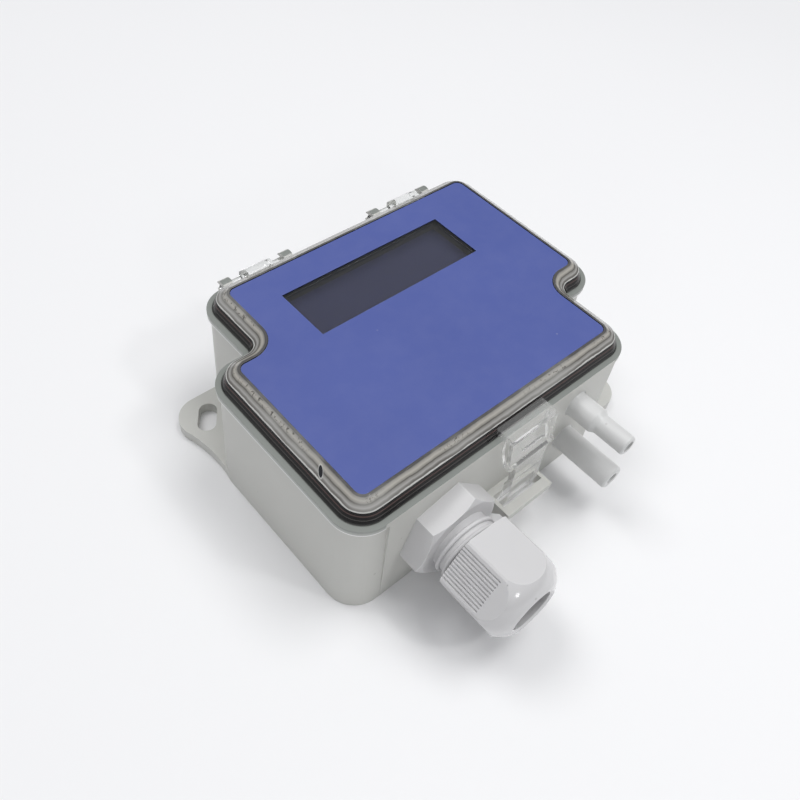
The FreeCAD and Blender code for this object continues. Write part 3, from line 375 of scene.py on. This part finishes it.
def with_mark(tree, place, colour):
    """The one long dark mark of the bevel, in a pale rim."""
    away = add(tree, "ShaderNodeVectorMath", {0: place, 1: [part * MM for part in MARK_AT]},
               operation="SUBTRACT")
    turned = add(tree, "ShaderNodeVectorRotate", {"Vector": away.outputs[0],
                                                  "Angle": radians(MARK_TURN)},
                 rotation_type="Z_AXIS")
    flat = add(tree, "ShaderNodeVectorMath", {0: turned.outputs[0], 1: MARK_SHAPE},
               operation="MULTIPLY")
    reach = add(tree, "ShaderNodeVectorMath", {0: flat.outputs[0]}, operation="LENGTH")
    mark = between(tree, reach.outputs["Value"], MARK_R[1] * MM, MARK_R[0] * MM)
    halo = between(tree, reach.outputs["Value"], HALO_R[1] * MM, HALO_R[0] * MM)
    colour = mixed(tree, scaled(tree, halo, 0.6), colour, (0.85, 0.85, 0.83))
    return mixed(tree, mark, colour, (0.02, 0.022, 0.026))


def lid_edge():
    """Bevel of the lid: clear plastic with painted highlight, shade and reflection lines, specks
    near the label.
    """
    made, tree, shader, marks = begun("lid_bevel", 500.0)
    place = place_of(tree)
    sway = noise(tree, place, 190.0, 3.0, roughness=0.6)
    height = total(tree, along_z(tree, SHOULDER_Z, LID_TOP), scaled(tree, sway, 0.22, -0.11))
    # Paler streaks along the mottle: painted reflections.
    painted_reflection_streaks = between(tree, marks.outputs["Mottle"], 0.45, 0.62)
    colour = mixed(tree, scaled(tree, painted_reflection_streaks, 0.4), bevel_painted_lines(tree, height),
                   (0.58, 0.58, 0.56))
    spots = noise(tree, place, 900.0, 4.0, roughness=0.75, distortion=0.6)
    runs = noise(tree, place, 75.0, 1.0)
    low, full, thin, end = SPECKS_Z
    near_label = product(tree, along_z(tree, low, full), along_z(tree, end, thin))
    near_label = product(tree, near_label, between(tree, runs, 0.44, 0.56))
    specks = product(tree, between(tree, spots, 0.54, 0.60), near_label)
    colour = mixed(tree, scaled(tree, specks, 0.8), colour, (0.03, 0.02, 0.016))
    # Dark line by the label: painted shade of the gap at the label's edge.
    colour = mixed(tree, scaled(tree, along_z(tree, *LABEL_SHADE_Z), 0.35), colour,
                   (0.02, 0.02, 0.025))
    tree.links.new(with_mark(tree, place, colour), shader.inputs["Base Color"])
    tree.links.new(scaled(tree, marks.outputs["Grain"], 0.12, 0.06), shader.inputs["Roughness"])
    relieved(tree, shader, sway, 0.12)
    lets_light_in(tree, shader, 0.5)
    shader.inputs["Transmission Weight"].default_value = 0.3
    return made


def lid_side():
    """Thin side of the lid over the black seal: the seal's dark colour with paler painted
    reflection lines that follow the edge, under a gloss.
    """
    made, tree, shader, marks = begun("lid_side_lines", 600.0)
    sway = noise(tree, place_of(tree), 120.0)
    height = total(tree, along_z(tree, LID_LOW, SHOULDER_Z), scaled(tree, sway, 0.08, -0.04))
    # The paler stops of this ramp are painted reflection lines.
    lines = ramp(tree, height, [
        (0.00, (0.16, 0.165, 0.155)), (0.10, (0.05, 0.05, 0.048)), (0.18, (0.006, 0.006, 0.006)),
        (0.36, (0.008, 0.007, 0.007)), (0.42, (0.10, 0.095, 0.09)), (0.47, (0.008, 0.007, 0.007)),
        (0.66, (0.010, 0.008, 0.008)), (0.74, (0.12, 0.075, 0.07)), (0.82, (0.012, 0.010, 0.010)),
        (0.96, (0.02, 0.018, 0.018))])
    colour = mixed(tree, scaled(tree, marks.outputs["Mottle"], 0.02), lines, (0.11, 0.11, 0.105))
    tree.links.new(colour, shader.inputs["Base Color"])
    tree.links.new(scaled(tree, marks.outputs["Grain"], 0.06, 0.06), shader.inputs["Roughness"])
    relieved(tree, shader, marks.outputs["Mottle"], 0.02)
    lets_light_in(tree, shader, 0.9)
    shader.inputs["Transmission Weight"].default_value = 0.2
    shader.inputs["Specular IOR Level"].default_value = 0.14
    return made


def latch_clear():
    """Clear plastic of the latch, thin enough to show the wall behind it."""
    made, tree, shader, marks = begun("latch_clear", 600.0)
    tone = mixed(tree, marks.outputs["Mottle"], (0.88, 0.88, 0.87), (0.97, 0.97, 0.96))
    tree.links.new(tone, shader.inputs["Base Color"])
    tree.links.new(scaled(tree, marks.outputs["Grain"], 0.06, 0.02), shader.inputs["Roughness"])
    relieved(tree, shader, marks.outputs["Mottle"], 0.03)
    lets_light_in(tree, shader, 0.9)
    shader.inputs["Transmission Weight"].default_value = 0.9
    shader.inputs["IOR"].default_value = 1.16
    shader.inputs["Coat Weight"].default_value = 0.4
    shader.inputs["Coat Roughness"].default_value = 0.08
    return made


def latch_creases():
    """Rounded edges of the clear latch: painted highlights in broken white lines over painted
    shade.
    """
    made, tree, shader, marks = begun("latch_creases", 600.0)
    # Broken white lines: painted highlights.
    lit = between(tree, noise(tree, place_of(tree), 520.0), 0.47, 0.54)
    # Dark edges under them: painted shade.
    painted_edge_shade = mixed(tree, marks.outputs["Mottle"], (0.07, 0.07, 0.07), (0.24, 0.24, 0.235))
    tree.links.new(mixed(tree, lit, painted_edge_shade, (1.0, 1.0, 1.0)), shader.inputs["Base Color"])
    tree.links.new(scaled(tree, marks.outputs["Grain"], 0.1, 0.05), shader.inputs["Roughness"])
    relieved(tree, shader, marks.outputs["Grain"], 0.06)
    lets_light_in(tree, shader, 0.6)
    shader.inputs["Transmission Weight"].default_value = 0.45
    shader.inputs["IOR"].default_value = 1.3
    return made


def rim_band():
    """Grey plastic of the rim: painted shade under the lid, lighter downwards, with a painted
    highlight line at its lower corner.
    """
    made, tree, shader, marks = begun("rim_plastic", 900.0)
    tone = mixed(tree, marks.outputs["Mottle"], (0.19, 0.205, 0.19), (0.27, 0.285, 0.268))
    # Painted shade: dark under the lid, lighter towards the lower edge.
    down = along_z(tree, RIM_TOP - 0.1, RIM_LOW + 0.2)
    tone = mixed(tree, scaled(tree, down, 0.75), tone, (0.60, 0.61, 0.59))
    # Painted highlight: a white line along the rim's lower corner.
    corner = product(tree, along_z(tree, RIM_LOW + 0.28, RIM_LOW + 0.10),
                     along_z(tree, RIM_LOW - 0.25, RIM_LOW - 0.05))
    colour = mixed(tree, scaled(tree, corner, 0.9), tone, (1.0, 1.0, 1.0))
    tree.links.new(colour, shader.inputs["Base Color"])
    tree.links.new(scaled(tree, marks.outputs["Mottle"], 0.1, 0.24), shader.inputs["Roughness"])
    relieved(tree, shader, marks.outputs["Grain"], 0.08)
    return made


def board_finish():
    """Green lacquer over copper tracks, which show as lighter raised lines."""
    made, tree, shader, marks = begun("board_lacquer", 700.0)
    tracks = add(tree, "ShaderNodeTexBrick", {
        "Vector": place_of(tree), "Scale": 330.0, "Mortar Size": 0.035, "Mortar Smooth": 0.2,
        "Brick Width": 1.9, "Row Height": 0.42}).outputs["Fac"]
    ground = mixed(tree, marks.outputs["Mottle"], (0.012, 0.085, 0.038), (0.02, 0.125, 0.055))
    colour = mixed(tree, scaled(tree, tracks, 0.55), ground, (0.05, 0.25, 0.11))
    rubbed = use(tree, EDGES)
    colour = mixed(tree, scaled(tree, rubbed.outputs["Mask"], 0.8), colour, (0.32, 0.28, 0.14))
    tree.links.new(colour, shader.inputs["Base Color"])
    tree.links.new(scaled(tree, marks.outputs["Mottle"], 0.1, 0.26), shader.inputs["Roughness"])
    relieved(tree, shader, tracks, 0.25, 0.0001)
    return made


GREY = material("case_plastic", (0.53, 0.53, 0.50), (0.60, 0.60, 0.57), 0.42,
                edge=(0.70, 0.70, 0.69), dust=0.05, bump=0.10)
GLAND = material("gland_plastic", (0.57, 0.565, 0.57), (0.64, 0.635, 0.64), 0.46,
                 edge=(0.84, 0.84, 0.84), bump=0.12, grain=1100.0, shine=0.35)
DOME = material("gland_polished", (0.57, 0.565, 0.57), (0.64, 0.635, 0.64), 0.2,
                edge=(0.84, 0.84, 0.84), bump=0.015, grain=1100.0, coat=0.9)
PORT = material("port_plastic", (0.60, 0.605, 0.60), (0.67, 0.67, 0.665), 0.28,
                edge=(0.84, 0.84, 0.84), bump=0.05)
BLUE = material("label_film", (0.072, 0.100, 0.318), (0.085, 0.116, 0.356), 0.5,
                edge=(0.2, 0.25, 0.5), edge_share=0.5, bump=0.03, grain=1500.0, dust=0.02,
                speck=(0.5, 0.5, 0.55), shine=0.3)
RUBBER = material("black_rubber", (0.012, 0.011, 0.011), (0.03, 0.027, 0.026), 0.62,
                  edge=(0.08, 0.075, 0.07), bump=0.15, dust=0.03)
SEAL = material("seal_rubber", (0.003, 0.003, 0.003), (0.009, 0.008, 0.008), 0.6,
                bump=0.1, shine=0.15)
LINE = material("seal_line", (0.10, 0.06, 0.055), (0.20, 0.14, 0.13), 0.5, bump=0.1, shine=0.3)
# Painted highlight: a pale line on the front of the seal.
SEAL_HIGHLIGHT = material("seal_painted_highlight", (0.35, 0.35, 0.34), (0.95, 0.95, 0.93), 0.3, bump=0.1)
BLACK = material("black_plastic", (0.012, 0.012, 0.013), (0.022, 0.022, 0.024), 0.5,
                 edge=(0.07, 0.07, 0.07), bump=0.08)
LCD = material("lcd_glass", (0.020, 0.022, 0.058), (0.028, 0.030, 0.072), 0.3,
               bump=0.01, spread=0.06, shine=0.2)
BOARD = board_finish()
PART = material("part_ceramic", (0.02, 0.019, 0.018), (0.045, 0.042, 0.04), 0.4,
                edge=(0.12, 0.12, 0.12), bump=0.05, grain=2500.0)
SOLDER = material("part_solder", (0.55, 0.55, 0.56), (0.72, 0.72, 0.73), 0.3,
                  bump=0.08, grain=2500.0, metal=1.0, spread=0.2)
STEEL = material("screw_steel", (0.42, 0.42, 0.43), (0.6, 0.6, 0.61), 0.3,
                 edge=(0.8, 0.8, 0.8), bump=0.06, metal=1.0, spread=0.2)
PIN = material("pin_metal", (0.62, 0.47, 0.2), (0.75, 0.58, 0.28), 0.28,
               bump=0.04, metal=1.0, spread=0.15)
GREEN = material("terminal_plastic", (0.02, 0.19, 0.075), (0.03, 0.25, 0.10), 0.42,
                 edge=(0.14, 0.42, 0.25), bump=0.08, dust=0.04)
WHITE = material("button_plastic", (0.74, 0.73, 0.70), (0.82, 0.81, 0.78), 0.4,
                 edge=(0.9, 0.9, 0.88), bump=0.06)
CAN = material("can_aluminium", (0.52, 0.52, 0.54), (0.7, 0.7, 0.72), 0.32,
               bump=0.06, metal=1.0, spread=0.2)
HOSE = material("hose_silicone", (0.6, 0.58, 0.54), (0.72, 0.7, 0.66), 0.45,
                bump=0.05, dust=0.03, sheen=0.2)
CLEAR = lid_clear()
BEVEL = lid_edge()
LATCH = latch_clear()
CREASE = latch_creases()
SIDE = lid_side()
RIM = rim_band()


# Where the finishes go: each test takes a face's centre in mm

def on_latch(at):
    return at.y < LATCH_ROOT_Y and LATCH_X[0] < at.x < LATCH_X[1]


def on_lid_side(at):
    """True outside the lid's channel, and near the outline's rounded outer corners."""
    wide = (abs(at.x) > CASE_HALF_WIDTH - CHANNEL_INSET
            or abs(at.y) > CASE_HALF_HEIGHT - CHANNEL_INSET)
    notch = (at.x * at.y < 0 and abs(at.x) > CASE_HALF_WIDTH - STEP - CHANNEL_INSET
             and abs(at.y) > STEP_Y - CHANNEL_INSET)
    corners = ((-CASE_HALF_WIDTH, -CASE_HALF_HEIGHT), (CASE_HALF_WIDTH - STEP, -CASE_HALF_HEIGHT),
               (CASE_HALF_WIDTH, -STEP_Y))
    turn = any(abs(side * at.x - x) + abs(side * at.y - y) < CORNER_REACH
               for x, y in corners for side in (1, -1))
    return wide or notch or turn


def in_hinge(at):
    return at.y > HINGE_FROM_Y and (abs(at.x) > HINGE_CLEAR_X or at.z < RIM_LOW)


def inside_case(at):
    """True for faces of the case well inside its rim."""
    wide = (abs(at.x) < CASE_HALF_WIDTH - STEP - INSIDE
            and abs(at.y) < CASE_HALF_HEIGHT - INSIDE)
    return wide or (abs(at.x) < CASE_HALF_WIDTH - INSIDE and abs(at.y) < STEP_Y - INSIDE)


def on_rim(at, normal):
    """True for the ledge under the lid and for the band of wall below it."""
    ledge = at.z > RIM_TOP - LEDGE_SLACK and normal.z > LEDGE_UP
    return ledge or (at.z > RIM_LOW - RIM_SLACK and not in_hinge(at) and not inside_case(at))


def on_bevel(at, normal):
    sloped = BEVEL_UP[0] < normal.z and (normal.z < BEVEL_UP[1] or at.z > RECESS_Z)
    return at.z > SHOULDER_Z and sloped


def on_seal_line(at):
    return SEAL_LINE[0] < at.z < SEAL_LINE[1]


def paint(thing, finish, test, keep=None):
    """Another finish for the faces that pass the test, but not over finish number keep."""
    thing.data.materials.append(finish)
    number = len(thing.data.materials) - 1
    for face in thing.data.polygons:
        if face.material_index != keep and test(face.center / MM, face.normal):
            face.material_index = number


def clear_rounds(lid):
    """Only the latch keeps the painted highlights and shade of its rounded edges."""
    for face in lid.data.polygons:
        if face.material_index == 1 and not on_latch(face.center / MM):
            face.material_index = 0


# Pieces made from the model's own shapes

def merged(node):
    """Merged copy of a node's mesh, flat areas joined into single faces."""
    work = bmesh.new()
    work.from_mesh(NODES[node].data)
    bmesh.ops.remove_doubles(work, verts=work.verts, dist=SAME_POINT)
    bmesh.ops.dissolve_limit(work, angle_limit=radians(SAME_PLANE), verts=work.verts,
                             edges=work.edges)
    bmesh.ops.recalc_face_normals(work, faces=work.faces)
    return work


def frozen(thing):
    """Takes the evaluated shape as plain mesh and drops the modifiers."""
    seen = thing.evaluated_get(bpy.context.evaluated_depsgraph_get())
    mesh = bpy.data.meshes.new_from_object(seen)
    old = thing.data
    thing.modifiers.clear()
    thing.data = mesh
    bpy.data.meshes.remove(old)
    mesh.name = thing.name


def smooth(thing):
    """Smooth shading that keeps flat faces flat and hard edges sharp."""
    for face in thing.data.polygons:
        face.use_smooth = True
    thing.data.set_sharp_from_angle(angle=radians(SHARP_FROM))
    weigh = thing.modifiers.new("flat_faces", "WEIGHTED_NORMAL")
    weigh.keep_sharp = True
    weigh.weight = 100
    frozen(thing)


def soften(name, node, finish, body, width, work=None, rounds=None):
    """Stands for a node: its shape with edges rounded by a width in mm, rounds finished apart."""
    work = work or merged(node)
    mesh = bpy.data.meshes.new(name)
    work.to_mesh(mesh)
    work.free()
    thing = bpy.data.objects.new(name, mesh)
    bpy.context.scene.collection.objects.link(thing)
    rounding = thing.modifiers.new("rounding", "BEVEL")
    rounding.width = width * MM
    rounding.segments = 2
    rounding.limit_method = "ANGLE"
    rounding.angle_limit = radians(ROUND_FROM)
    rounding.use_clamp_overlap = True
    rounding.miter_outer = "MITER_ARC"
    thing.data.materials.clear()
    thing.data.materials.append(finish)
    if rounds:
        thing.data.materials.append(rounds)
        rounding.material = 1
    frozen(thing)
    smooth(thing)
    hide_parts(node)
    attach(thing, body)
    return thing


def neck_for_thread():
    """Gland body with its threaded neck turned down to the thread's root."""
    work = merged("gland_body")
    for corner in work.verts:
        across = Vector((corner.co.x - GLAND_X * MM, 0, corner.co.z - GLAND_Z * MM))
        on_neck = NECK_R[0] * MM < across.length < NECK_R[1] * MM
        if corner.co.y < NECK_FROM_Y * MM and on_neck:
            across *= NECK_ROOT_R * MM / across.length
            corner.co.x = GLAND_X * MM + across.x
            corner.co.z = GLAND_Z * MM + across.z
    return work


def case_outline(inset):
    """Points of the case's stepped outline, set in by a distance, in mm."""
    wide = CASE_HALF_WIDTH - inset
    side = CASE_HALF_HEIGHT - inset
    narrow = CASE_HALF_WIDTH - STEP - inset
    step = STEP_Y - inset
    half = [(-wide, -side, CORNER_R - inset), (narrow, -side, CORNER_R - inset),
            (narrow, -step, STEP_INNER_R + inset), (wide, -step, CORNER_R - inset)]
    corners = half + [(-x, -y, radius) for x, y, radius in half]
    points = []
    for number, (x, y, radius) in enumerate(corners):
        here = Vector((x, y))
        into = (here - Vector(corners[number - 1][:2])).normalized()
        out = (Vector(corners[(number + 1) % len(corners)][:2]) - here).normalized()
        middle = here - radius * into + radius * out
        for count in range(ARC_STEPS + 1):
            turn = pi / 2 * count / ARC_STEPS
            points.append(middle - radius * cos(turn) * out + radius * sin(turn) * into)
    return points


def ring(section):
    """Closed ring along the case's outline, from a section of (inset, height) points in mm."""
    work = bmesh.new()
    loops = [[work.verts.new((x * MM, y * MM, z * MM)) for x, y in case_outline(inset)]
             for inset, z in section]
    for first, second in zip(loops, loops[1:] + loops[:1]):
        for number in range(len(first)):
            work.faces.new((first[number - 1], first[number], second[number], second[number - 1]))
    bmesh.ops.recalc_face_normals(work, faces=work.faces)
    return work


def seal_with_lip():
    """Cord pressed into the lid's channel, with a thin lip out to the lid's edge."""
    bottom = RIM_TOP - SEAL_SINK
    lip_low = RIM_TOP + LIP_CLEAR
    lip_top = LID_LOW - LIP_CLEAR
    outer, inner = SEAL_CORD
    fill_outer, fill_inner = SEAL_FILL
    return ring([(outer, bottom), (inner, bottom), (inner, lip_low), (fill_inner, lip_top),
                 (fill_inner, CHANNEL_TOP), (fill_outer, CHANNEL_TOP), (fill_outer, SEAL_LINE[1]),
                 (fill_outer, SEAL_LINE[0]), (fill_outer, lip_top), (LIP_INSET, lip_top),
                 (LIP_INSET, lip_low), (outer, lip_low)])


# Pieces grown by geometry nodes

def growing_tree(name, inputs):
    """New geometry tree with named inputs: itself, its input sockets and what completes it."""
    tree = bpy.data.node_groups.new(name, "GeometryNodeTree")
    face = tree.interface
    face.new_socket(name="Geometry", in_out="INPUT", socket_type="NodeSocketGeometry")
    for label, kind, value in inputs:
        socket = face.new_socket(name=label, in_out="INPUT", socket_type="NodeSocket" + kind)
        socket.default_value = value
    face.new_socket(name="Finish", in_out="INPUT", socket_type="NodeSocketMaterial")
    face.new_socket(name="Geometry", in_out="OUTPUT", socket_type="NodeSocketGeometry")
    source = tree.nodes.new("NodeGroupInput").outputs
    sink = tree.nodes.new("NodeGroupOutput")

    def close(shape):
        whole = add(tree, "GeometryNodeRealizeInstances", {0: shape})
        done = add(tree, "GeometryNodeSetMaterial", {"Geometry": whole.outputs[0],
                                                     "Material": source["Finish"]})
        tree.links.new(done.outputs[0], sink.inputs[0])
        return tree

    return tree, source, close


def thread_tree():
    """Round thread wound along an axis, from a spiral and a profile."""
    tree, source, close = growing_tree("wound_thread", (
        ("Turns", "Float", THREAD_TURNS), ("Radius", "Float", THREAD_R * MM),
        ("Length", "Float", THREAD_LENGTH * MM), ("Crest", "Float", THREAD_CREST * MM)))
    wind = add(tree, "GeometryNodeCurveSpiral", {
        "Resolution": 72, "Rotations": source["Turns"], "Start Radius": source["Radius"],
        "End Radius": source["Radius"], "Height": source["Length"]})
    profile = add(tree, "GeometryNodeCurvePrimitiveCircle", {"Resolution": 12,
                                                             "Radius": source["Crest"]})
    body = add(tree, "GeometryNodeCurveToMesh", {
        "Curve": wind.outputs[0], "Profile Curve": profile.outputs[0], "Fill Caps": True})
    return close(body.outputs[0])


def field_tree():
    """Boxes on a grid, some left out and some turned, the same ones for the same seed."""
    tree, source, close = growing_tree("field_of_parts", (
        ("Size X", "Float", 0.01), ("Size Y", "Float", 0.01), ("Keep", "Float", 0.7),
        ("Columns", "Int", 4), ("Rows", "Int", 4), ("Seed", "Int", 3),
        ("Box", "Vector", (0.001, 0.001, 0.001))))
    grid = add(tree, "GeometryNodeMeshGrid", {
        "Size X": source["Size X"], "Size Y": source["Size Y"],
        "Vertices X": source["Columns"], "Vertices Y": source["Rows"]})
    kept = add(tree, "FunctionNodeRandomValue", {"Probability": source["Keep"],
                                                 "Seed": source["Seed"]}, data_type="BOOLEAN")
    turned = add(tree, "FunctionNodeRandomValue", {"Min": 0, "Max": 1, "Seed": source["Seed"]},
                 data_type="INT")
    turn = add(tree, "ShaderNodeCombineXYZ", {"Z": product(tree, turned.outputs[2], pi / 2)})
    box = add(tree, "GeometryNodeMeshCube", {"Size": source["Box"]})
    copies = add(tree, "GeometryNodeInstanceOnPoints", {
        "Points": grid.outputs[0], "Selection": kept.outputs[3], "Instance": box.outputs[0],
        "Rotation": turn.outputs[0]})
    return close(copies.outputs[0])


def grown(name, tree, values, body, matrix):
    """Piece grown by a node tree, turned into plain mesh in its place."""
    thing = bpy.data.objects.new(name, bpy.data.meshes.new(name))
    bpy.context.scene.collection.objects.link(thing)
    grower = thing.modifiers.new("grower", "NODES")
    grower.node_group = tree
    keys = {item.name: item.identifier for item in tree.interface.items_tree
            if item.in_out == "INPUT"}
    for label, value in values.items():
        grower[keys[label]] = value
    frozen(thing)
    thing.data.transform(matrix)
    work = bmesh.new()
    work.from_mesh(thing.data)
    bmesh.ops.remove_doubles(work, verts=work.verts, dist=SAME_GROWN_POINT)
    bmesh.ops.recalc_face_normals(work, faces=work.faces)
    work.to_mesh(thing.data)
    work.free()
    smooth(thing)
    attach(thing, body)


def small_parts():
    """Surface parts on the free areas of the main board: dark bodies over longer soldered feet."""
    tree = field_tree()
    kinds = (("bodies", PART_BODY, PART, "black_plastic"),
             ("feet", PART_FOOT, SOLDER, "screw_steel"))
    for number, (x, y, columns, rows) in enumerate(PART_FIELDS, start=1):
        for kind, box, finish, slot in kinds:
            where = Matrix.Translation((x * MM, y * MM, (BOARD_TOP + box[2] / 2) * MM))
            values = {"Size X": (columns - 1) * PART_PITCH[0] * MM,
                      "Size Y": (rows - 1) * PART_PITCH[1] * MM,
                      "Columns": columns, "Rows": rows, "Keep": PART_KEEP,
                      "Seed": PART_SEED + number, "Box": [part * MM for part in box],
                      "Finish": finish}
            grown("part_%s_%d" % (kind, number), tree, values, "base", where)


# Piece, node, finish, body, slot and rounding in mm of the pieces that need nothing more
PLAIN_PIECES = (
    ("cable_sleeve", "gland_seal", RUBBER, "base", "black_rubber", 0.1),
    ("flat_seal", "gland_washer", RUBBER, "base", "black_rubber", 0.1),
    ("back_nut", "gland_lock_nut", GLAND, "base", "gland_grey", 0.3),
    ("port_straight", "port_lower", PORT, "base", "port_grey", 0.15),
    ("port_stepped", "port_upper", PORT, "base", "port_grey", 0.15),
    ("sensor_housing", "pressure_sensor", BLACK, "base", "black_plastic", 0.3),
    ("hose_low", "hose_lower", HOSE, "base", "hose_silicone", 0.1),
    ("hose_high", "hose_upper", HOSE, "base", "hose_silicone", 0.1),
    ("board_main", "main_board", BOARD, "base", "board_green", 0.08),
    ("screws_pan", "board_screws", STEEL, "base", "screw_steel", 0.2),
    ("board_display", "display_board", BOARD, "base", "board_green", 0.08),
    ("posts", "display_standoffs", BLACK, "base", "black_plastic", 0.12),
    ("pin_row", "display_header", PIN, "base", "pin_metal", 0.1),
    ("display_frame", "lcd_bezel", BLACK, "base", "black_plastic", 0.15),
    ("display_glass", "lcd_panel", LCD, "base", "lcd_glass", 0.1),
    ("terminals", "terminal_block", GREEN, "base", "terminal_green", 0.2),
    ("switch_case", "switch_body", BLACK, "base", "black_plastic", 0.12),
    ("button_cap", "zero_button", WHITE, "zero_button", "button_white", 0.1),
    ("link_pins", "range_header", PIN, "base", "pin_metal", 0.08),
    ("link_caps", "range_jumpers", BLACK, "base", "black_plastic", 0.12),
    ("chip", "controller_chip", BLACK, "base", "black_plastic", 0.06),
    ("cans", "capacitors", CAN, "base", "can_aluminium", 0.12),
)


def case_and_lid():
    case = soften("case_moulding", "case_base", GREY, "base", 0.22)
    paint(case, RIM, on_rim)
    soften("ears", "fixing_ears", GREY, "base", 0.3)
    # Rounded edges take the latch's painted highlights and shade.
    lid = soften("lid_moulding", "clear_lid", CLEAR, "lid", 0.14, rounds=CREASE)
    clear_rounds(lid)
    paint(lid, SIDE, lambda at, _: at.z < SHOULDER_Z and on_lid_side(at) and at.y < LID_BACK_Y)
    paint(lid, BEVEL, on_bevel)
    paint(lid, LATCH, lambda at, _: on_latch(at), keep=1)
    soften("label_sheet", "window_label", BLUE, "lid", 0.05)
    seal = soften("lid_seal", "lid_gasket", SEAL, "lid", 0.04,
                  work=seal_with_lip())
    paint(seal, LINE, lambda at, _: on_seal_line(at) and on_lid_side(at))
    # Painted highlight on the seal's thin line at the front.
    paint(seal, SEAL_HIGHLIGHT, lambda at, _: on_seal_line(at) and at.y < INSIDE - CASE_HALF_HEIGHT)


def cable_gland():
    soften("gland_moulding", "gland_body", GLAND, "base", 0.25,
           work=neck_for_thread())
    along = Matrix.Translation((GLAND_X * MM, THREAD_FROM_Y * MM, GLAND_Z * MM))
    along = along @ Matrix.Rotation(radians(90), 4, "X")
    grown("gland_thread", thread_tree(), {"Finish": GLAND}, "base", along)
    nut = soften("dome_nut_moulding", "gland_dome_nut", GLAND, "dome_nut", 0.12)
    paint(nut, DOME, lambda _, normal: normal.y < DOME_FORWARD)


def build_pieces():
    case_and_lid()
    cable_gland()
    for name, node, finish, body, slot, width in PLAIN_PIECES:
        soften(name, node, finish, body, width)
    small_parts()
    for number in range(1, 5):
        screw = "terminal_screw_%d" % number
        soften("clamp_screw_%d" % number, screw, STEEL, screw, 0.12)


# Studio

def floor():
    """Pale floor that keeps the object's shadow and fades to white far from it."""
    plate = bmesh.new()
    bmesh.ops.create_grid(plate, x_segments=1, y_segments=1, size=FLOOR_SIZE)
    mesh = bpy.data.meshes.new("floor")
    plate.to_mesh(mesh)
    plate.free()
    made = bpy.data.materials.new("floor_white")
    made.use_nodes = True
    tree = made.node_tree
    shader = tree.nodes["Principled BSDF"]
    place = place_of(tree)
    tone = mixed(tree, noise(tree, place, 3.0), (0.85, 0.85, 0.86), (0.88, 0.88, 0.885))
    tree.links.new(tone, shader.inputs["Base Color"])
    shader.inputs["Roughness"].default_value = 0.9
    shader.inputs["Specular IOR Level"].default_value = 0.1
    away = add(tree, "ShaderNodeVectorMath", {0: place}, operation="LENGTH")
    far = between(tree, away.outputs["Value"], *FLOOR_FADE)
    seen = add(tree, "ShaderNodeLightPath").outputs["Is Camera Ray"]
    white = add(tree, "ShaderNodeEmission", {"Color": (1.0, 1.0, 1.0, 1.0), "Strength": 1.0})
    both = add(tree, "ShaderNodeMixShader", {0: product(tree, far, seen), 1: shader.outputs[0],
                                             2: white.outputs[0]})
    tree.links.new(both.outputs[0], tree.nodes["Material Output"].inputs["Surface"])
    mesh.materials.append(made)
    thing = bpy.data.objects.new("floor", mesh)
    bpy.context.scene.collection.objects.link(thing)
    thing.location.z = -FLOOR_DROP


def lamp(name, place, target, size, power):
    """Soft round lamp that looks at its target."""
    data = bpy.data.lights.new(name, "AREA")
    data.shape = "DISK"
    data.size = size
    data.energy = power
    thing = bpy.data.objects.new(name, data)
    bpy.context.scene.collection.objects.link(thing)
    thing.location = place
    aim = (Vector(target) - Vector(place)).to_track_quat("-Z", "Y")
    thing.rotation_euler = aim.to_euler()


def sky():
    """Even room light, a little stronger from above; white where the camera sees it."""
    world = bpy.data.worlds.new("studio")
    bpy.context.scene.world = world
    world.use_nodes = True
    tree = world.node_tree
    up = add(tree, "ShaderNodeSeparateXYZ",
             {0: add(tree, "ShaderNodeTexCoord").outputs["Generated"]})
    height = between(tree, up.outputs["Z"], -0.1, 0.9)
    soft = mixed(tree, height, (0.13, 0.135, 0.14), (0.50, 0.505, 0.52))
    seen = add(tree, "ShaderNodeLightPath").outputs["Is Camera Ray"]
    tree.links.new(mixed(tree, seen, soft, (1.0, 1.0, 1.0)),
                   tree.nodes["Background"].inputs["Color"])


def camera():
    """Camera at the photograph's view."""
    data = bpy.data.cameras.new("camera")
    data.lens = CAMERA_LENS
    data.sensor_width = CAMERA_FILM
    thing = bpy.data.objects.new("camera", data)
    bpy.context.scene.collection.objects.link(thing)
    turn = Matrix((CAMERA_RIGHT, CAMERA_UP, CAMERA_BACK)).transposed().to_4x4()
    thing.matrix_world = Matrix.Translation(CAMERA_AT) @ turn
    bpy.context.scene.camera = thing


build_pieces()
floor()
sky()
for row in LAMPS:
    lamp(*row)
camera()
bpy.context.scene.view_settings.view_transform = "Standard"
